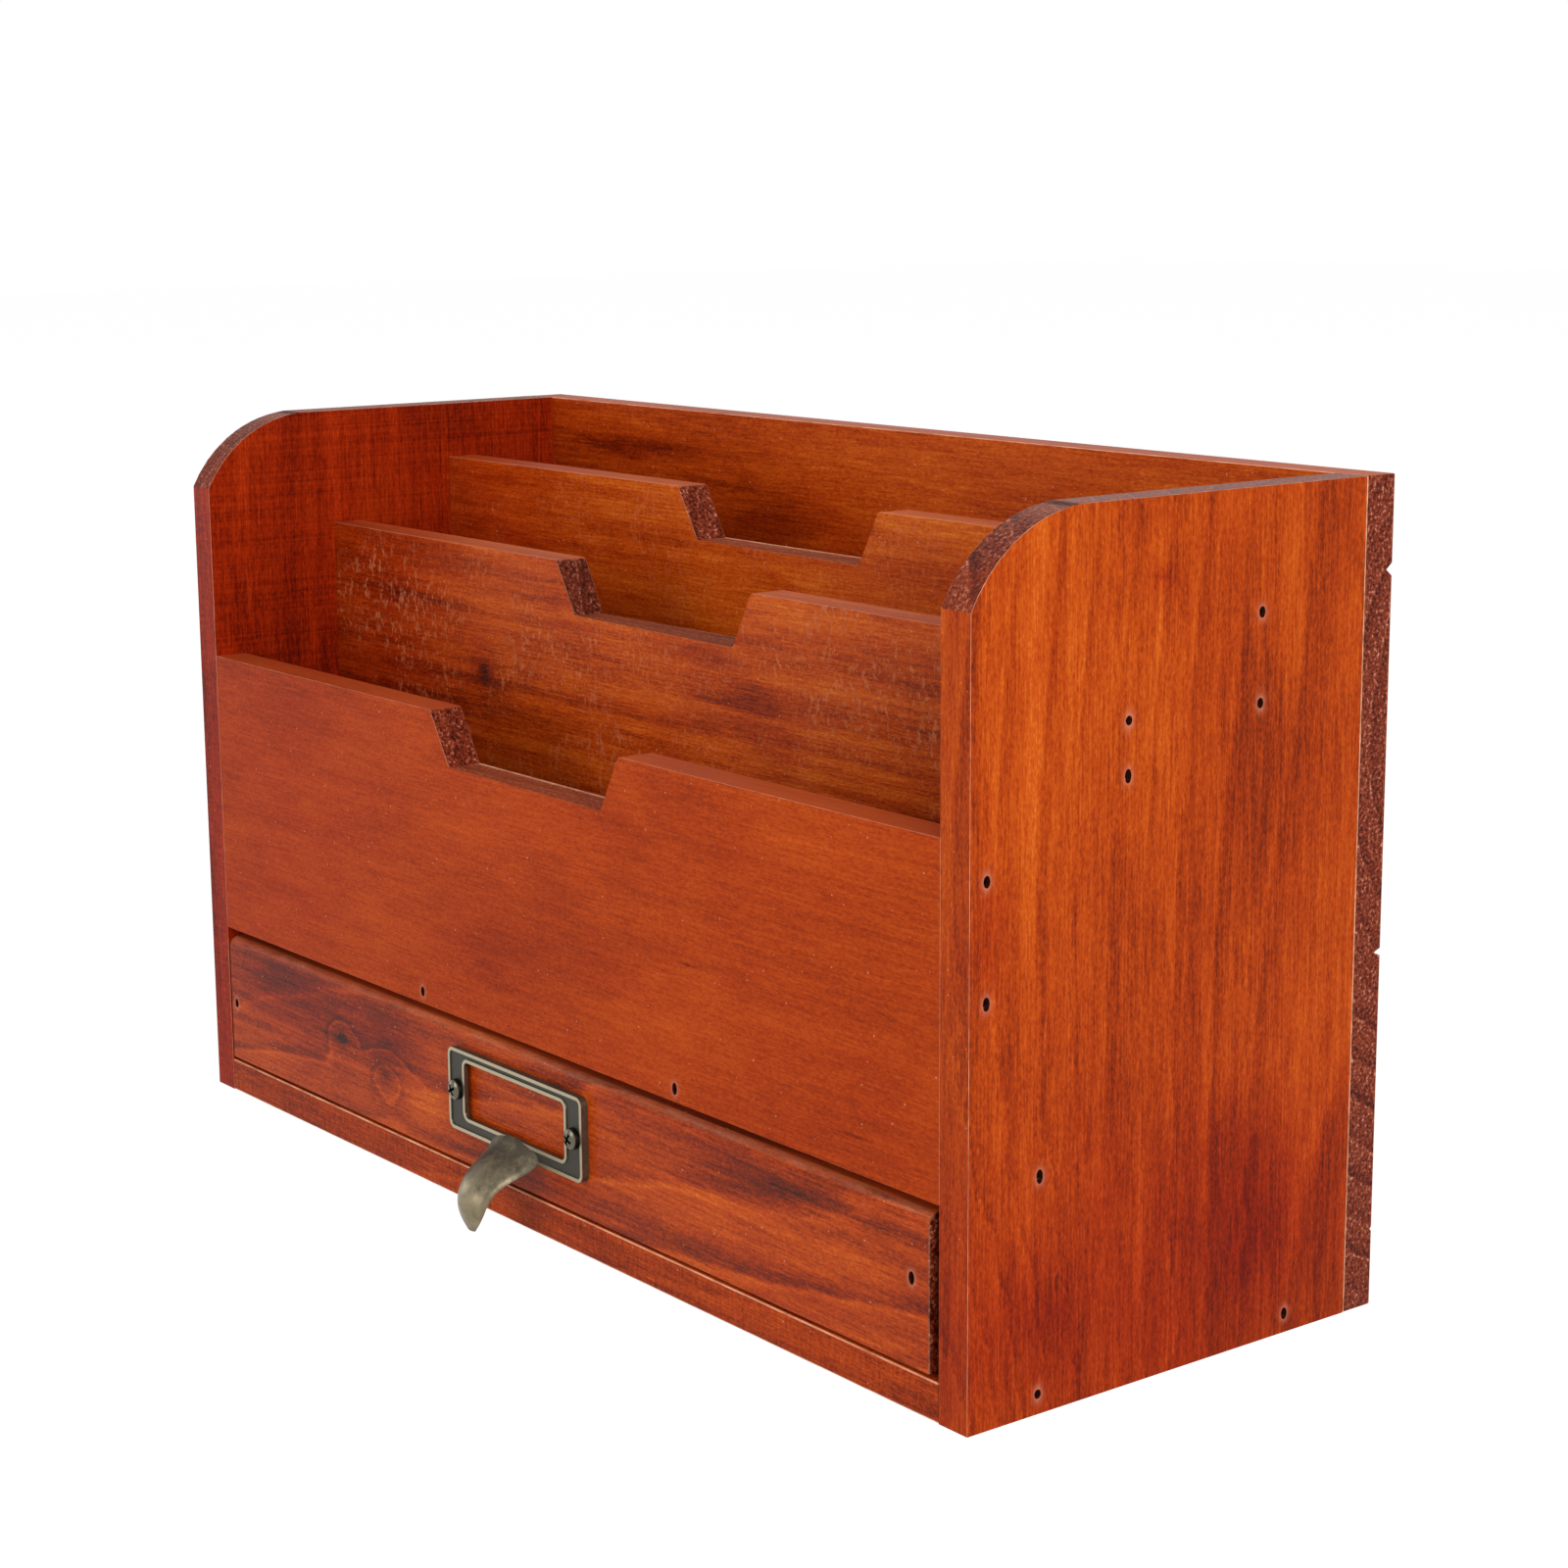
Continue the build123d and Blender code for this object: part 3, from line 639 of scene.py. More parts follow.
@dataclass
class Board:
    """A flat board: a softened box with the holes of the brads that enter its outer face.

    Attributes:
        node: the CAD node that it stands for.
        finish: its wood.
        body: the body that it rides on.
        slot: the record's material slot, which is not used.
        arris: the radius of its softened edges.
        brads: the node of the brads that enter it, or "".
        out: the way that those brads' heads face.
        hole_radius: the radius of the hole over a head.
        hole_ends: what the radius is multiplied by at the head and at the surface.
        hole_stretch: how much taller than wide a hole is, and how far that differs from hole to hole.
        heads: the middle of each brad's head, found when the board is built.
    """

    node: str
    finish: StainedWood
    body: str = "case"
    slot: str = "stained_wood"
    arris: float = 0.55 * MM
    brads: str = ""
    out: Vector = Vector((0, 0, 0))
    hole_radius: float = 0.9 * MM
    hole_ends: tuple[float, float] = (0.9, 1.15)
    hole_stretch: tuple[float, float] = (1.4, 0.3)
    heads: list[Vector] = field(default_factory=list)

    def shape(self, piece: Object) -> None:
        """Gives the plain box its own form. A plain board keeps it."""

    def is_sawn(self, centre: Vector, normal: Vector) -> bool:
        """Says whether a face is left rough from the saw."""
        return False

    def brad_heads(self) -> list[Vector]:
        """Finds the middle of each brad's head.

        Returns:
            Points in metres.
        """
        reach = max if sum(self.out) > 0 else min
        axis = max(range(3), key=lambda number: abs(self.out[number]))
        groups: list[list[Vector]] = []
        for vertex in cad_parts[self.brads].data.vertices:
            place = vertex.co.copy()
            if place[axis] * self.out[axis] < 0:
                continue
            for group in groups:
                offset = place - group[0]
                offset[axis] = 0
                if offset.length < 4 * self.hole_radius:
                    group.append(place)
                    break
            else:
                groups.append([place])
        heads = []
        for group in groups:
            low, high = (Vector([end(place[number] for place in group) for number in range(3)]) for end in (min, max))
            head = (low + high) / 2
            head[axis] = reach(low[axis], high[axis])
            heads.append(head)
        return heads

    def drill(self, piece: Object) -> None:
        """Sinks the upright hole that the nailer left over each brad's head."""
        surface = max(vertex.co.dot(self.out) for vertex in piece.data.vertices)
        for number, head in enumerate(self.heads):
            length = surface - head.dot(self.out) + 0.4 * CLEAR
            deselect_all()
            bpy.ops.mesh.primitive_cone_add(
                vertices=16,
                radius1=self.hole_radius * self.hole_ends[0],
                radius2=self.hole_radius * self.hole_ends[1],
                depth=length,
                location=head + self.out * length / 2,
                rotation=self.out.to_track_quat("Z", "Y").to_euler(),
            )
            cutter = bpy.context.object
            apply_place(cutter)
            usual, change = self.hole_stretch
            stretch = Matrix.Diagonal((1.0, 1.0, usual + change * math.sin(2.4 * number), 1.0))
            cutter.data.transform(Matrix.Translation(head) @ stretch @ Matrix.Translation(-head))
            cut_away(piece, cutter)

    def in_hole(self, centre: Vector, normal: Vector) -> bool:
        """Says whether a face is in the wall of a brad's hole: near a head, and not level with the board."""
        for head in self.heads:
            offset = centre - head
            offset -= self.out * offset.dot(self.out)
            if offset.length < 2.5 * self.hole_radius and abs(normal.dot(self.out)) < 0.8:
                return True
        return False

    def build(self) -> None:
        """Makes the board and dresses it."""
        low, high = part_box(self.node)
        self.heads = self.brad_heads() if self.brads else []
        middle = (low + high) / 2
        across, _, along = ("XYZ".index(name) for name in self.finish.grain.value)
        offsets = [(head - middle) / MM for head in self.heads[:MOST_RIMS]]
        rims = tuple(
            Mark(offset[across], offset[along], RIM_SPREAD[across], RIM_SPREAD[along], pale=0.75) for offset in offsets
        )
        finish = replace(self.finish, marks=self.finish.marks + rims)
        piece = add_box(f"{self.node}_board", low, high)
        self.shape(piece)
        soften(piece, self.arris, 3, 28)
        self.drill(piece)
        dress(piece, finish.build(middle), finish.build(middle, sawn=True), BRAD_HOLE_SHADE.build())
        # Faces in a brad's hole take the painted shade; the rest are planed or sawn wood
        for face in piece.data.polygons:
            if self.in_hole(face.center, face.normal):
                face.material_index = 2
            else:
                face.material_index = int(self.is_sawn(face.center, face.normal))
        shade_piece(piece)
        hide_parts(self.node)
        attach(piece, self.body)
        LOG.info("board %s: %d faces", piece.name, len(piece.data.polygons))


@dataclass
class SideBoard(Board):
    """A side of the case, with its upper front corner rounded, and left rough where the saw went round."""

    corner_radius: float = 37.0 * MM
    corner_reach: float = 33.0 * MM
    chords: int = 28
    sawn_share: float = 0.93
    sawn_drop: float = 21.0 * MM

    def shape(self, piece: Object) -> None:
        """Planes the corner round, one chord after another."""
        low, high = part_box(self.node)
        centre = Vector((0, low.y + self.corner_reach, high.z - self.corner_radius))
        first = math.acos(self.corner_reach / self.corner_radius)
        step = (math.pi / 2 - first) / self.chords
        apothem = self.corner_radius * math.cos(step / 2)
        for number in range(self.chords):
            angle = first + (number + 0.5) * step
            normal = Vector((0, -math.cos(angle), math.sin(angle)))
            slice_whole(piece, centre + normal * apothem, normal, clear_outer=True)

    def is_sawn(self, centre: Vector, normal: Vector) -> bool:
        """The rounded corner is left rough."""
        low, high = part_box(self.node)
        rounded = centre.y < low.y + self.corner_reach * self.sawn_share and centre.z > high.z - self.sawn_drop
        return rounded and abs(normal.x) < 0.6 and normal.z > 0.2


@dataclass
class NotchedPanel(Board):
    """A panel between the sides, with the sloped notch in its upper edge."""

    top_width: float = 86.0 * MM
    floor_width: float = 68.5 * MM
    depth: float = 14.3 * MM
    floor_fillet: float = 3.0 * MM
    top_fillet: float = 1.2 * MM
    rough_below: float = 0.4 * MM

    def shape(self, piece: Object) -> None:
        """Cuts the panel at the notch's corners, drops its floor and rounds its corners."""
        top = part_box(self.node)[1].z
        for x in (-self.top_width / 2, -self.floor_width / 2, self.floor_width / 2, self.top_width / 2):
            slice_whole(piece, Vector((x, 0, 0)), Vector((1, 0, 0)))
        inside = self.floor_width / 2 + CLEAR
        select_in_edit_mode(piece, "verts", lambda vertex: abs(vertex.co.x) < inside and vertex.co.z > top - CLEAR)
        bpy.ops.transform.translate(value=(0, 0, -self.depth))
        slope = math.atan2(self.depth, (self.top_width - self.floor_width) / 2)
        for half, height, fillet in (
            (self.floor_width / 2, top - self.depth, self.floor_fillet),
            (self.top_width / 2, top, self.top_fillet),
        ):
            round_edges(
                piece, fillet * math.tan(slope / 2), 5,
                lambda edge: all(meet(abs(vert.co.x), half) and meet(vert.co.z, height) for vert in edge.verts),
            )

    def is_sawn(self, centre: Vector, normal: Vector) -> bool:
        """The notch is left rough from the saw."""
        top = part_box(self.node)[1].z
        inside = abs(centre.x) < self.top_width / 2 and centre.z < top - self.rough_below
        return inside and centre.z > top - self.depth - CLEAR and abs(normal.y) < 0.6


@dataclass
class BackPanel(Board):
    """The back, with three saw kerfs across its rear face, each with its height, width and depth in millimetres."""

    kerfs: tuple[tuple[float, float, float], ...] = ((178.0, 3.0, 1.9), (87.5, 1.8, 2.2), (19.0, 1.0, 0.6))

    def shape(self, piece: Object) -> None:
        """Folds each kerf into the rear face."""
        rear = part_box(self.node)[1].y
        for height, width, depth in self.kerfs:
            for level in (height - width / 2, height, height + width / 2):
                slice_whole(piece, Vector((0, 0, level * MM)), Vector((0, 0, 1)))
            select_in_edit_mode(
                piece, "verts",
                lambda vert: meet(vert.co.y, rear, 10 * HAIR) and meet(vert.co.z, height * MM, 5 * HAIR),
            )
            bpy.ops.transform.translate(value=(0, -depth * MM, 0))
            bpy.ops.object.mode_set(mode="OBJECT")


@dataclass
class GroovedBoard(Board):
    """A side or the back of the drawer, grooved for the bottom."""

    def shape(self, piece: Object) -> None:
        """Cuts the groove for the bottom."""
        cut_away(piece, add_box("groove", *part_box("drawer_bottom")))


@dataclass
class DrawerFront(GroovedBoard):
    """The drawer's front, with its upper edge rounded over."""

    round_over: float = 3.0 * MM

    def shape(self, piece: Object) -> None:
        """Rounds the upper front edge, then cuts the groove."""
        low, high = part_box(self.node)
        round_edges(
            piece, self.round_over, 8,
            lambda edge: all(meet(vert.co.z, high.z) and meet(vert.co.y, low.y) for vert in edge.verts),
        )
        super().shape(piece)


# ---- Label pull ----


@dataclass
class LabelPull:
    """The cast pull: a beaded frame round a card window, with a curled finger hook on its lower bar.

    The hook's curve is four control points, each how far out of the plate and how far below its middle, in
    millimetres. Its half widths and crowns are those of its section at the same four points.
    """

    corner: float = 2.2 * MM
    window_width: float = 47.0 * MM
    window_height: float = 15.3 * MM
    window_corner: float = 1.6 * MM
    window_lift: float = 0.65 * MM
    plate_height: float = 22.3 * MM
    thickness: float = 2.1 * MM
    bead: float = 0.9 * MM
    field_depth: float = 0.35 * MM
    card_margin: float = 1.6 * MM
    card_depth: float = 0.8 * MM
    plate_arris: float = 0.16 * MM
    hook_wall: float = 1.7 * MM
    hook_arris: float = 0.45 * MM
    hook_rows: int = 20
    hook_curve: tuple[tuple[float, float], ...] = ((-0.3, 10.5), (2.14, 16.21), (15.01, 13.19), (13.3, 28.6))
    hook_half_widths: tuple[float, ...] = (11.2, 9.36, 6.9, 5.5)
    hook_crowns: tuple[float, ...] = (4.0, 4.43, 3.13, 2.0)
    hook_root: float = 0.35
    hook_tip: float = 0.2
    hook_tip_least: float = 0.3

    def rounded_box(self, name: str, low: Vector, high: Vector, corner: float) -> Object:
        """Adds a box whose four edges that run front to back are rounded.

        Args:
            name: its name.
            low: its lowest corner.
            high: its highest corner.
            corner: the radius.

        Returns:
            The box.
        """
        piece = add_box(name, low, high)
        half = (high.y - low.y) / 2
        round_edges(piece, corner, 7, lambda edge: abs(edge.verts[0].co.y - edge.verts[1].co.y) > half)
        return piece

    def window_box(self, name: str, margin: float, near: float, far: float) -> Object:
        """Adds a box over the window, larger all round by a margin, from near to far."""
        half = Vector((self.window_width / 2 + margin, 0, self.window_height / 2 + margin))
        middle = self.centre + Vector((0, 0, self.window_lift))
        low = Vector((middle.x - half.x, near, middle.z - half.z))
        high = Vector((middle.x + half.x, far, middle.z + half.z))
        return self.rounded_box(name, low, high, self.window_corner + margin)

    def build_plate(self) -> Object:
        """Makes the plate with its window, card recess and sunk field.

        Returns:
            The plate.
        """
        low = Vector((self.box_low.x, self.wood - self.thickness, self.centre.z - self.plate_height / 2))
        high = Vector((self.box_high.x, self.wood, self.centre.z + self.plate_height / 2))
        plate = self.rounded_box("label_pull_plate", low, high, self.corner)
        cut_away(plate, self.window_box("window", 0, low.y - CLEAR, high.y + CLEAR))
        inset = Vector((self.bead, 0, self.bead))
        field_low = low + inset - Vector((0, CLEAR, 0))
        field_high = Vector((high.x, low.y + self.field_depth, high.z)) - inset
        sunk = self.rounded_box("field", field_low, field_high, self.corner - self.bead)
        cut_away(sunk, self.window_box("island", self.bead, low.y - 2 * CLEAR, high.y + CLEAR))
        cut_away(plate, sunk)
        cut_away(plate, self.window_box("card", self.card_margin, high.y - self.card_depth, high.y + CLEAR))
        soften(plate, self.plate_arris, 2, 40)
        bright = {"rub_from": low.y + 0.34 * MM, "rub_to": low.y + 0.04 * MM}
        dress(plate, AntiqueBrass("antique_brass_plate_rubbed_beads", wear=0.14, edge_rub=0.3, **bright).build())
        shade_piece(plate, math.radians(40))
        return plate

    def hook_section(self, share: float) -> tuple[Vector, Vector, float, float]:
        """Gives one section of the hook, on a curve that falls from the bar, runs out and curls down.

        Args:
            share: 0 at the root and 1 at the tip.

        Returns:
            The section's middle, the way its crown faces, its half width and its crown.
        """
        rest = 1 - share
        weights = (rest ** 3, 3 * rest ** 2 * share, 3 * rest * share ** 2, share ** 3)
        out, down = (sum(w * point[axis] for w, point in zip(weights, self.hook_curve)) * MM for axis in (0, 1))
        slopes = (3 * rest ** 2, 6 * rest * share, 3 * share ** 2)
        steps = [(b[0] - a[0], b[1] - a[1]) for a, b in zip(self.hook_curve, self.hook_curve[1:])]
        run, fall = (sum(w * step[axis] for w, step in zip(slopes, steps)) for axis in (0, 1))
        lean = math.atan2(fall, run) * min(share / self.hook_root, 1) ** 0.8
        into_tip = max(share - 1 + self.hook_tip, 0) / self.hook_tip
        round_tip = math.sqrt(max(1 - into_tip ** 2, self.hook_tip_least ** 2))
        half_width = sum(w * value for w, value in zip(weights, self.hook_half_widths)) * MM * round_tip
        crown = sum(w * value for w, value in zip(weights, self.hook_crowns)) * MM * round_tip
        face = self.wood - self.thickness
        middle = Vector((self.centre.x, face - out, self.centre.z - down))
        return middle, Vector((0, -math.sin(lean), math.cos(lean))), half_width, crown

    def place_section(self, piece: Object, share: float) -> None:
        """Moves the selected row of vertices onto one section of the hook."""
        middle, crown_way, half_width, crown = self.hook_section(share)
        mesh = bmesh.from_edit_mesh(piece.data)
        row = sorted((vertex for vertex in mesh.verts if vertex.select), key=lambda vertex: vertex.co.x)
        for number, vertex in enumerate(row):
            angle = math.pi * number / (len(row) - 1)
            vertex.co = middle + LEFT * math.cos(angle) * half_width + crown_way * (crown * math.sin(angle))
        bmesh.update_edit_mesh(piece.data)

    def build_hook(self) -> Object:
        """Makes the hook: an arched row of edges drawn out of the lower bar, curled down and given its wall.

        Returns:
            The hook.
        """
        deselect_all()
        turn = (math.pi / 2, 0, 0)
        bpy.ops.mesh.primitive_circle_add(vertices=24, radius=10 * MM, fill_type="NOTHING", rotation=turn)
        hook = bpy.context.object
        hook.name = "label_pull_hook"
        apply_place(hook)
        select_in_edit_mode(hook, "verts", lambda vertex: vertex.co.z < -HAIR)
        bpy.ops.mesh.delete(type="VERT")
        bpy.ops.mesh.select_all(action="SELECT")
        self.place_section(hook, 0.0)
        for number in range(1, self.hook_rows + 1):
            bpy.ops.mesh.extrude_region_move()
            self.place_section(hook, number / self.hook_rows)
        bpy.ops.mesh.select_all(action="SELECT")
        bpy.ops.mesh.normals_make_consistent(inside=False)
        bpy.ops.object.mode_set(mode="OBJECT")
        crown_way = self.hook_section(0.5)[1]
        crest = max(hook.data.polygons, key=lambda face: abs(face.normal.dot(crown_way)))
        if crest.normal.dot(crown_way) < 0:
            hook.data.flip_normals()
        use_modifier(hook, "SOLIDIFY", thickness=self.hook_wall, offset=-1.0, material_offset_rim=1)
        soften(hook, self.hook_arris, 2, 50)
        use_modifier(hook, "SUBSURF", levels=2, render_levels=2)
        crown = AntiqueBrass(
            "antique_brass_hook_rubbed_crown", skin="4C453A", rubbed="A29475",
            rub_from=self.wood - 3 * MM, rub_to=self.wood - 30 * MM, wear=0.55, roughness=0.36,
        )
        rim = AntiqueBrass(
            "antique_brass_hook_rubbed_rim", skin="6E6454", rubbed="BCAE90",
            rub_from=self.wood, rub_to=self.wood - 6 * MM, wear=0.2, roughness=0.36,
        )
        dress(hook, crown.build(), rim.build())
        shade_piece(hook, math.radians(60))
        return hook

    def build(self) -> None:
        """Makes the plate and the hook."""
        self.box_low, self.box_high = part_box("label_pull")
        self.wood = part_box("drawer_front")[0].y
        middle = (self.box_low.x + self.box_high.x) / 2
        self.centre = Vector((middle, self.wood, self.box_high.z - self.plate_height / 2))
        for piece in (self.build_plate(), self.build_hook()):
            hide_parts("label_pull")
            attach(piece, "drawer")
            LOG.info("pull %s: %d faces", piece.name, len(piece.data.polygons))


@dataclass
class PullScrews:
    """The two pan-head screws of the pull, each with a cross recess."""

    head_radius: float = 2.8 * MM
    head_height: float = 1.3 * MM
    cross_length: float = 3.2 * MM
    cross_width: float = 0.75 * MM
    cross_depth: float = 0.9 * MM
    turns: tuple[float, float] = (math.radians(28), math.radians(62))

    def build_screw(self, name: str, x: float, seat: float, height: float, turn: float) -> Object:
        """Makes one screw head on its seat.

        Args:
            name: the piece's name.
            x: its place across.
            seat: where the head sits, front to back.
            height: its height.
            turn: the way that its recess is turned.

        Returns:
            The head.
        """
        deselect_all()
        bpy.ops.mesh.primitive_uv_sphere_add(segments=40, ring_count=24, radius=self.head_radius)
        head = bpy.context.object
        head.name = name
        apply_place(head)
        slice_whole(head, Vector((0, 0, 0)), Vector((0, 0, -1)), clear_outer=True)
        select_in_edit_mode(head, "verts", lambda vertex: vertex.co.z > HAIR)
        bpy.ops.transform.resize(value=(1, 1, self.head_height / self.head_radius))
        bpy.ops.object.mode_set(mode="OBJECT")
        low = Vector((-self.cross_length / 2, -self.cross_width / 2, self.head_height - self.cross_depth))
        high = Vector((self.cross_length / 2, self.cross_width / 2, self.head_height + CLEAR))
        for angle in (0, math.pi / 2):
            slot = add_box("slot", low, high)
            slot.data.transform(Matrix.Rotation(turn + angle, 4, "Z"))
            cut_away(head, slot)
        head.data.transform(Matrix.Rotation(math.pi / 2, 4, "X"))
        head.data.transform(Matrix.Translation((x, seat, height)))
        brass = AntiqueBrass(
            "antique_brass_screw_rubbed_head", skin="26221D", rubbed="6E6757",
            rub_from=seat - 0.9 * self.head_height, rub_to=seat - 1.1 * self.head_height, wear=0.15, roughness=0.30,
        )
        dress(head, brass.build())
        shade_piece(head, math.radians(40))
        return head

    def build(self) -> None:
        """Makes both heads where the CAD screws are."""
        low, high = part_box("pull_screws")
        seat = low.y + self.head_height
        height = (low.z + high.z) / 2
        centres = (low.x + self.head_radius, high.x - self.head_radius)
        for name, x, turn in zip(("pull_screw_left", "pull_screw_right"), centres, self.turns):
            piece = self.build_screw(name, x, seat, height, turn)
            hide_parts("pull_screws")
            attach(piece, "drawer")
            LOG.info("screw %s: %d faces", piece.name, len(piece.data.polygons))


@dataclass
class Brads:
    """The brads, whose CAD shapes are kept and dressed."""

    places: tuple[str, ...] = ("left_side", "right_side", "front_panel", "back_panel", "drawer_front", "drawer_side")

    def build(self) -> None:
        """Gives every brad its steel, painted dark for the shade in its hole."""
        steel = SHADED_BRAD_STEEL.build()
        for place in self.places:
            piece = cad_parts[f"{place}_brads"]
            for slot in piece.material_slots:
                slot.material = steel
            LOG.info("brads %s dressed", piece.name)


# ---- Studio ----


@dataclass
class Studio:
    """A white floor and room, soft lamps and the camera of the photograph.

    Each lamp is its name, its place in metres, its edge in metres and its power in watts.
    """

    azimuth: float = math.radians(52.253)
    elevation: float = math.radians(11.288)
    roll: float = math.radians(-0.403)
    focal_pixels: float = 3161.987
    image_pixels: float = 1600.0
    sensor: float = 36.0
    aim: Vector = Vector((0, -64.25 * MM, 100 * MM))
    aim_offset: Vector = Vector((-66.012 * MM, -17.477 * MM, 782.361 * MM))
    clear_of_floor: float = 0.2 * MM
    paper: float = 0.80
    shadow_paper: float = 0.35
    floor_glow: float = 0.90
    room_light: float = 0.26
    lamps: tuple[tuple, ...] = (
        ("soft_box_right", (1.35, -0.45, 0.55), 0.9, 13.5),
        ("soft_box_front", (-0.25, -1.5, 0.75), 1.0, 8.5),
        ("soft_box_low_left", (-1.30, -0.60, 0.20), 0.35, 0.9),
        ("soft_box_top", (0.1, 0.1, 1.7), 1.2, 3),
    )

    def build_camera(self) -> None:
        """Places the camera at the photograph's viewpoint."""
        flat = math.cos(self.elevation)
        back = Vector((math.sin(self.azimuth) * flat, -math.cos(self.azimuth) * flat, math.sin(self.elevation)))
        level = (-back).cross(Vector((0, 0, 1))).normalized()
        upright = level.cross(-back)
        right = level * math.cos(self.roll) + upright * math.sin(self.roll)
        up = upright * math.cos(self.roll) - level * math.sin(self.roll)
        place = self.aim - right * self.aim_offset.x - up * self.aim_offset.y + back * self.aim_offset.z
        data = bpy.data.cameras.new("studio_camera")
        data.sensor_width = self.sensor
        data.lens = self.focal_pixels / self.image_pixels * self.sensor
        data.clip_start = 0.01
        camera = bpy.data.objects.new("studio_camera", data)
        axes = Matrix((right, up, back)).transposed()
        camera.matrix_world = Matrix.Translation(place) @ axes.to_4x4()
        bpy.context.scene.collection.objects.link(camera)
        bpy.context.scene.camera = camera

    def direct_rays(self, tree: NodeTree) -> NodeSocket:
        """Tells the rays that the floor and the room answer with plain white.

        Args:
            tree: the floor's or the room's node tree.

        Returns:
            1 for rays of the camera, of a mirror or through something clear, and 0 for the rest.
        """
        share = 0.0
        for name in ("Is Camera Ray", "Is Transmission Ray", "Is Glossy Ray"):
            ray = add_node(tree, "LightPath", output=name)
            share = add_node(tree, "Math", {0: share, 1: ray}, operation="MAXIMUM")
        return share

    def build_floor(self) -> None:
        """Lays the white floor, which is lit paper that keeps the object's shadow."""
        deselect_all()
        bpy.ops.mesh.primitive_plane_add(size=12, location=(0, 0, -self.clear_of_floor))
        floor = bpy.context.object
        floor.name = "studio_floor"
        apply_place(floor)
        material, tree = new_material("matt_white_paper_floor")
        paper, shadow_catch = (
            add_node(tree, "BsdfDiffuse", {"Color": (grey, grey, grey, 1)}) for grey in (self.paper, self.shadow_paper)
        )
        glow = add_node(tree, "Emission", {"Color": (1, 1, 1, 1), "Strength": self.floor_glow})
        lit = add_node(tree, "AddShader", {0: shadow_catch, 1: glow})
        shaded = add_node(tree, "MixShader", {0: self.direct_rays(tree), 1: paper, 2: lit})
        add_node(tree, "OutputMaterial", {"Surface": shaded})
        floor.data.materials.append(material)

    def build_world(self) -> None:
        """Fills the room: white where the camera looks, a low even light on the object."""
        world = bpy.data.worlds.new("white_room")
        world.use_nodes = True
        tree = world.node_tree
        tree.nodes.clear()
        strength = add_node(tree, "Mix", {"Factor": self.direct_rays(tree), "A": self.room_light, "B": 1.0})
        background = add_node(tree, "Background", {"Color": (1, 1, 1, 1), "Strength": strength})
        add_node(tree, "OutputWorld", {"Surface": background})
        bpy.context.scene.world = world

    def add_lamp(self, name: str, place: tuple[float, float, float], size: float, power: float) -> None:
        """Hangs a square soft box that faces the object.

        Args:
            name: the lamp's name.
            place: where it hangs, in metres.
            size: its edge, in metres.
            power: its power, in watts.
        """
        data = bpy.data.lights.new(name, "AREA")
        data.size = size
        data.energy = power
        lamp = bpy.data.objects.new(name, data)
        lamp.location = place
        aim = Vector((0, 0, 0.1)) - Vector(place)
        lamp.rotation_euler = aim.to_track_quat("-Z", "Y").to_euler()
        bpy.context.scene.collection.objects.link(lamp)

    def build(self) -> None:
        """Sets up the whole studio."""
        self.build_camera()
        self.build_floor()
        self.build_world()
        for lamp in self.lamps:
            self.add_lamp(*lamp)
        bpy.context.scene.view_settings.view_transform = "Standard"
        LOG.info("studio set")


# ---- The sorter's boards ----


def wood(name: str, grain: GrainRun, seed: float, **changes) -> StainedWood:
    """Gives one board its wood.

    Args:
        name: what sets this board's wood apart.
        grain: the way its grain runs.
        seed: where in the log it was cut.
        **changes: other values than the usual ones.

    Returns:
        The finish.
    """
    return StainedWood(f"planed_softwood_red_stain_{name}", grain, seed, **changes)


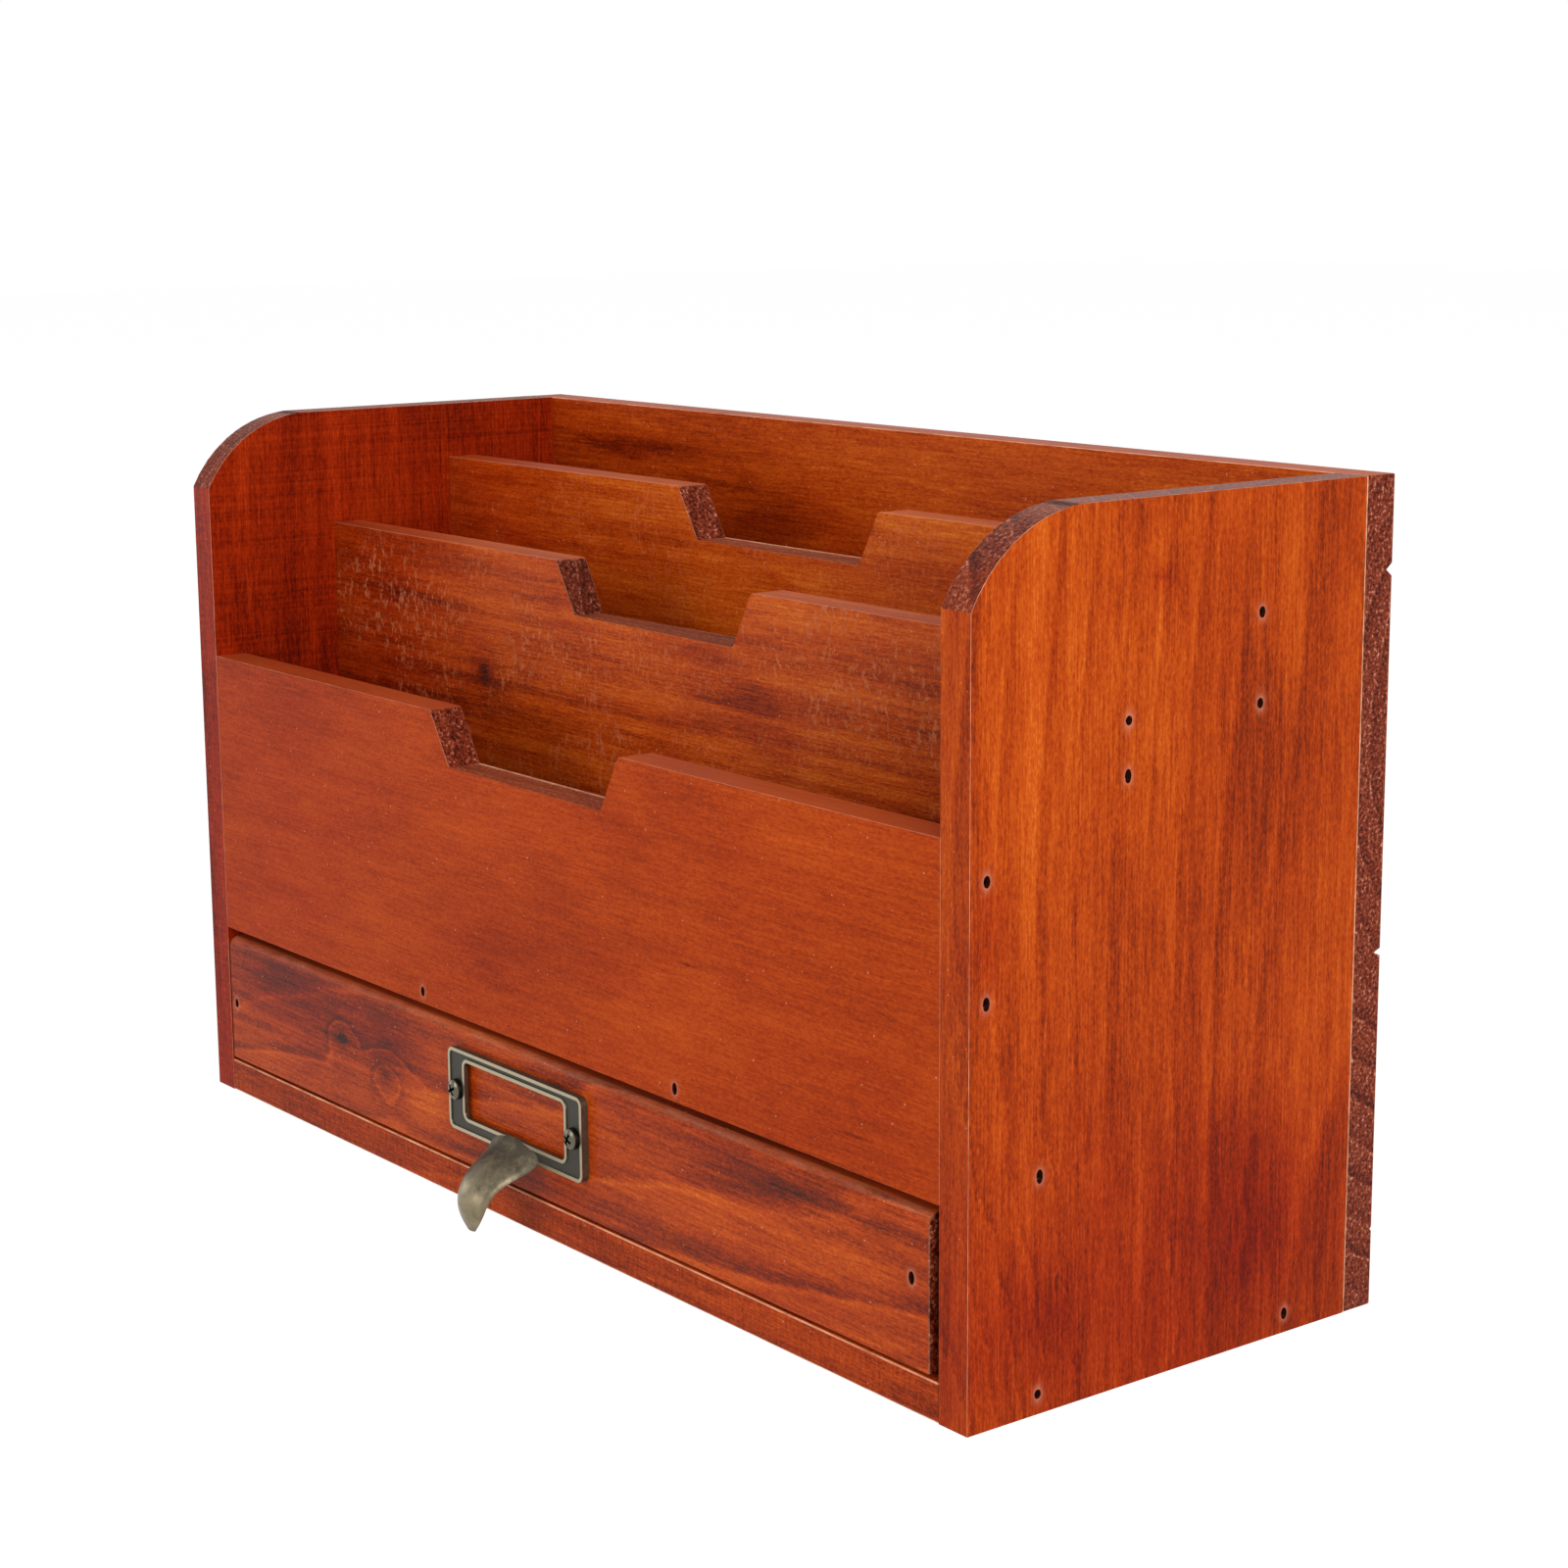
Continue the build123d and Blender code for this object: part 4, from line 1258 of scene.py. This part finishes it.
def case_boards() -> list[Board]:
    """Lists the boards of the case.

    Returns:
        The boards, outer ones first.
    """
    right_wood = wood(
        "right_side", GrainRun.UPRIGHT_SIDE, 3.1, pith=(60, 60), ring_spacing=9.0, rings=0.22,
        marks=(
            Mark(24, 45, 17, 46, shade=0.12, red=0.1),
            Mark(31, -67, 15, 24, shade=0.15, red=0.2),
            Mark(22, -10, 26, 55, shade=0.09),
            Mark(-39, -79, 10, 13, shade=0.10, red=0.3),
            Mark(-4.4, 82.6, 4, 3, shade=0.05, core=0.12, red=0.5),
            Mark(-54, 12, 5, 16, shade=0.08, red=0.5),
            Mark(0, -75, 90, 45, shade=0.03, red=0.75),
            Mark(-75, -125, 60, 75, push=34),
        ),
    )
    left_wood = wood(
        "left_side", GrainRun.UPRIGHT_SIDE, 7.7, pith=(-15, -80), rings=0.10, saw_lines=0.5, tone=0.05, redness=1.0,
        # The first mark is a pale scuff; the second is painted shade on the inner face, down in the pockets
        marks=(Mark(10, 76, 12, 12, shade=-0.10), Mark(-20, 20, 50, 60, shade=0.12)),
    )
    back_wood = wood(
        "back", GrainRun.LEVEL_PANEL, 12.4, pith=(40, 60), streaks=0.6, streak_width=7.0, rings=0.14, tone=-0.07,
        marks=(
            # Painted shade at the left end, where the left side shades it, with redder stain too
            Mark(0, -140, 90, 60, shade=0.12, red=0.6),
            Mark(88, -112, 3.5, 34, shade=0.32, red=0.3),
            Mark(80, -80, 3, 26, shade=0.2),
            Mark(72, -46, 6, 32, shade=0.18, red=0.2),
        ),
    )
    front_wood = wood(
        "front_panel", GrainRun.LEVEL_PANEL, 21.0, rings=0.05, streaks=0.25, blotches=0.5, fibres=0.5, pits=0.6,
        shine=0.05, redness=0.3, tone=0.02,
        marks=(
            Mark(-32, 132, 0.5, 6, shade=0.3),
            Mark(-5.5, 70, 0.4, 4, shade=0.3),
            Mark(0, -130, 60, 60, red=0.3),
        ),
    )
    middle_wood = wood(
        "middle_divider", GrainRun.LEVEL_PANEL, 25.0, rings=0.16, bump=0.9, shine=0.14, tone=-0.02, torn=0.6,
        streaks=1.1, blotches=0.8,
        marks=(
            Mark(19, -80, 8, 9, shade=0.14, core=0.35, push=16, red=0.2),
            # Painted shade at the left end, where the left side shades it, with redder stain too
            Mark(0, -140, 90, 45, shade=0.13, red=0.7),
        ),
    )
    rear_wood = wood(
        "rear_divider", GrainRun.LEVEL_PANEL, 31.0, rings=0.14, tone=-0.12, streaks=0.7, torn=0.3,
        # The second mark is painted shade at the left end, where the left side shades it, with redder stain too
        marks=(Mark(47, -66, 3, 26, shade=0.2), Mark(0, -135, 90, 50, shade=0.15, red=0.7)),
    )
    bottom_wood = wood("bottom", GrainRun.FLAT_BOARD, 15.0, bump=0.9, tone=0.10, saw_lines=0.5)
    return [
        SideBoard("right_side", right_wood, brads="right_side_brads", out=RIGHT),
        SideBoard("left_side", left_wood, brads="left_side_brads", out=LEFT),
        BackPanel("back_panel", back_wood, brads="back_panel_brads", out=BACK),
        Board("bottom_panel", bottom_wood),
        Board("pocket_deck", wood("deck", GrainRun.FLAT_BOARD, 18.0)),
        NotchedPanel("front_panel", front_wood, brads="front_panel_brads", out=FRONT),
        NotchedPanel("middle_divider", middle_wood),
        NotchedPanel("rear_divider", rear_wood),
    ]


def drawer_boards() -> list[Board]:
    """Lists the boards of the drawer.

    Returns:
        The boards, the front first.
    """
    front_wood = wood(
        "drawer_front", GrainRun.LEVEL_PANEL, 36.0, rings=0.38, ring_spacing=6.0, streaks=0.9, shine=0.16, tone=0.08,
        wear=0.16, streak_width=4.0,
        marks=(
            Mark(9, -125, 13, 34, shade=0.14, red=0.7),
            Mark(7, -68, 7, 18, shade=0.18, red=0.6),
            Mark(2, -94, 6, 8, shade=0.14, core=0.2, push=8),
            Mark(-4, -70, 7, 11, shade=0.16, core=0.2, push=9),
            Mark(-7, -50, 7, 18, shade=-0.24),
            Mark(11, 122, 5, 34, shade=0.22),
            Mark(2, 60, 5, 30, shade=-0.10),
        ),
    )
    left_wood = wood("drawer_left_side", GrainRun.DRAWER_SIDE, 41.0)
    right_wood = wood("drawer_right_side", GrainRun.DRAWER_SIDE, 44.0)
    back_wood = wood("drawer_back", GrainRun.LEVEL_PANEL, 47.0)
    bottom_wood = wood("drawer_bottom", GrainRun.FLAT_BOARD, 52.0)
    inner = {"body": "drawer", "slot": "drawer_wood"}
    return [
        DrawerFront("drawer_front", front_wood, body="drawer", brads="drawer_front_brads", out=FRONT),
        GroovedBoard("drawer_left_side", left_wood, brads="drawer_side_brads", out=LEFT, **inner),
        GroovedBoard("drawer_right_side", right_wood, brads="drawer_side_brads", out=RIGHT, **inner),
        GroovedBoard("drawer_back", back_wood, **inner),
        Board("drawer_bottom", bottom_wood, arris=0.2 * MM, **inner),
    ]


def main() -> None:
    """Builds the sorter piece by piece, then the studio."""
    for board in case_boards() + drawer_boards():
        board.build()
    LabelPull().build()
    PullScrews().build()
    Brads().build()
    Studio().build()


if __name__ == "__main__":
    main()
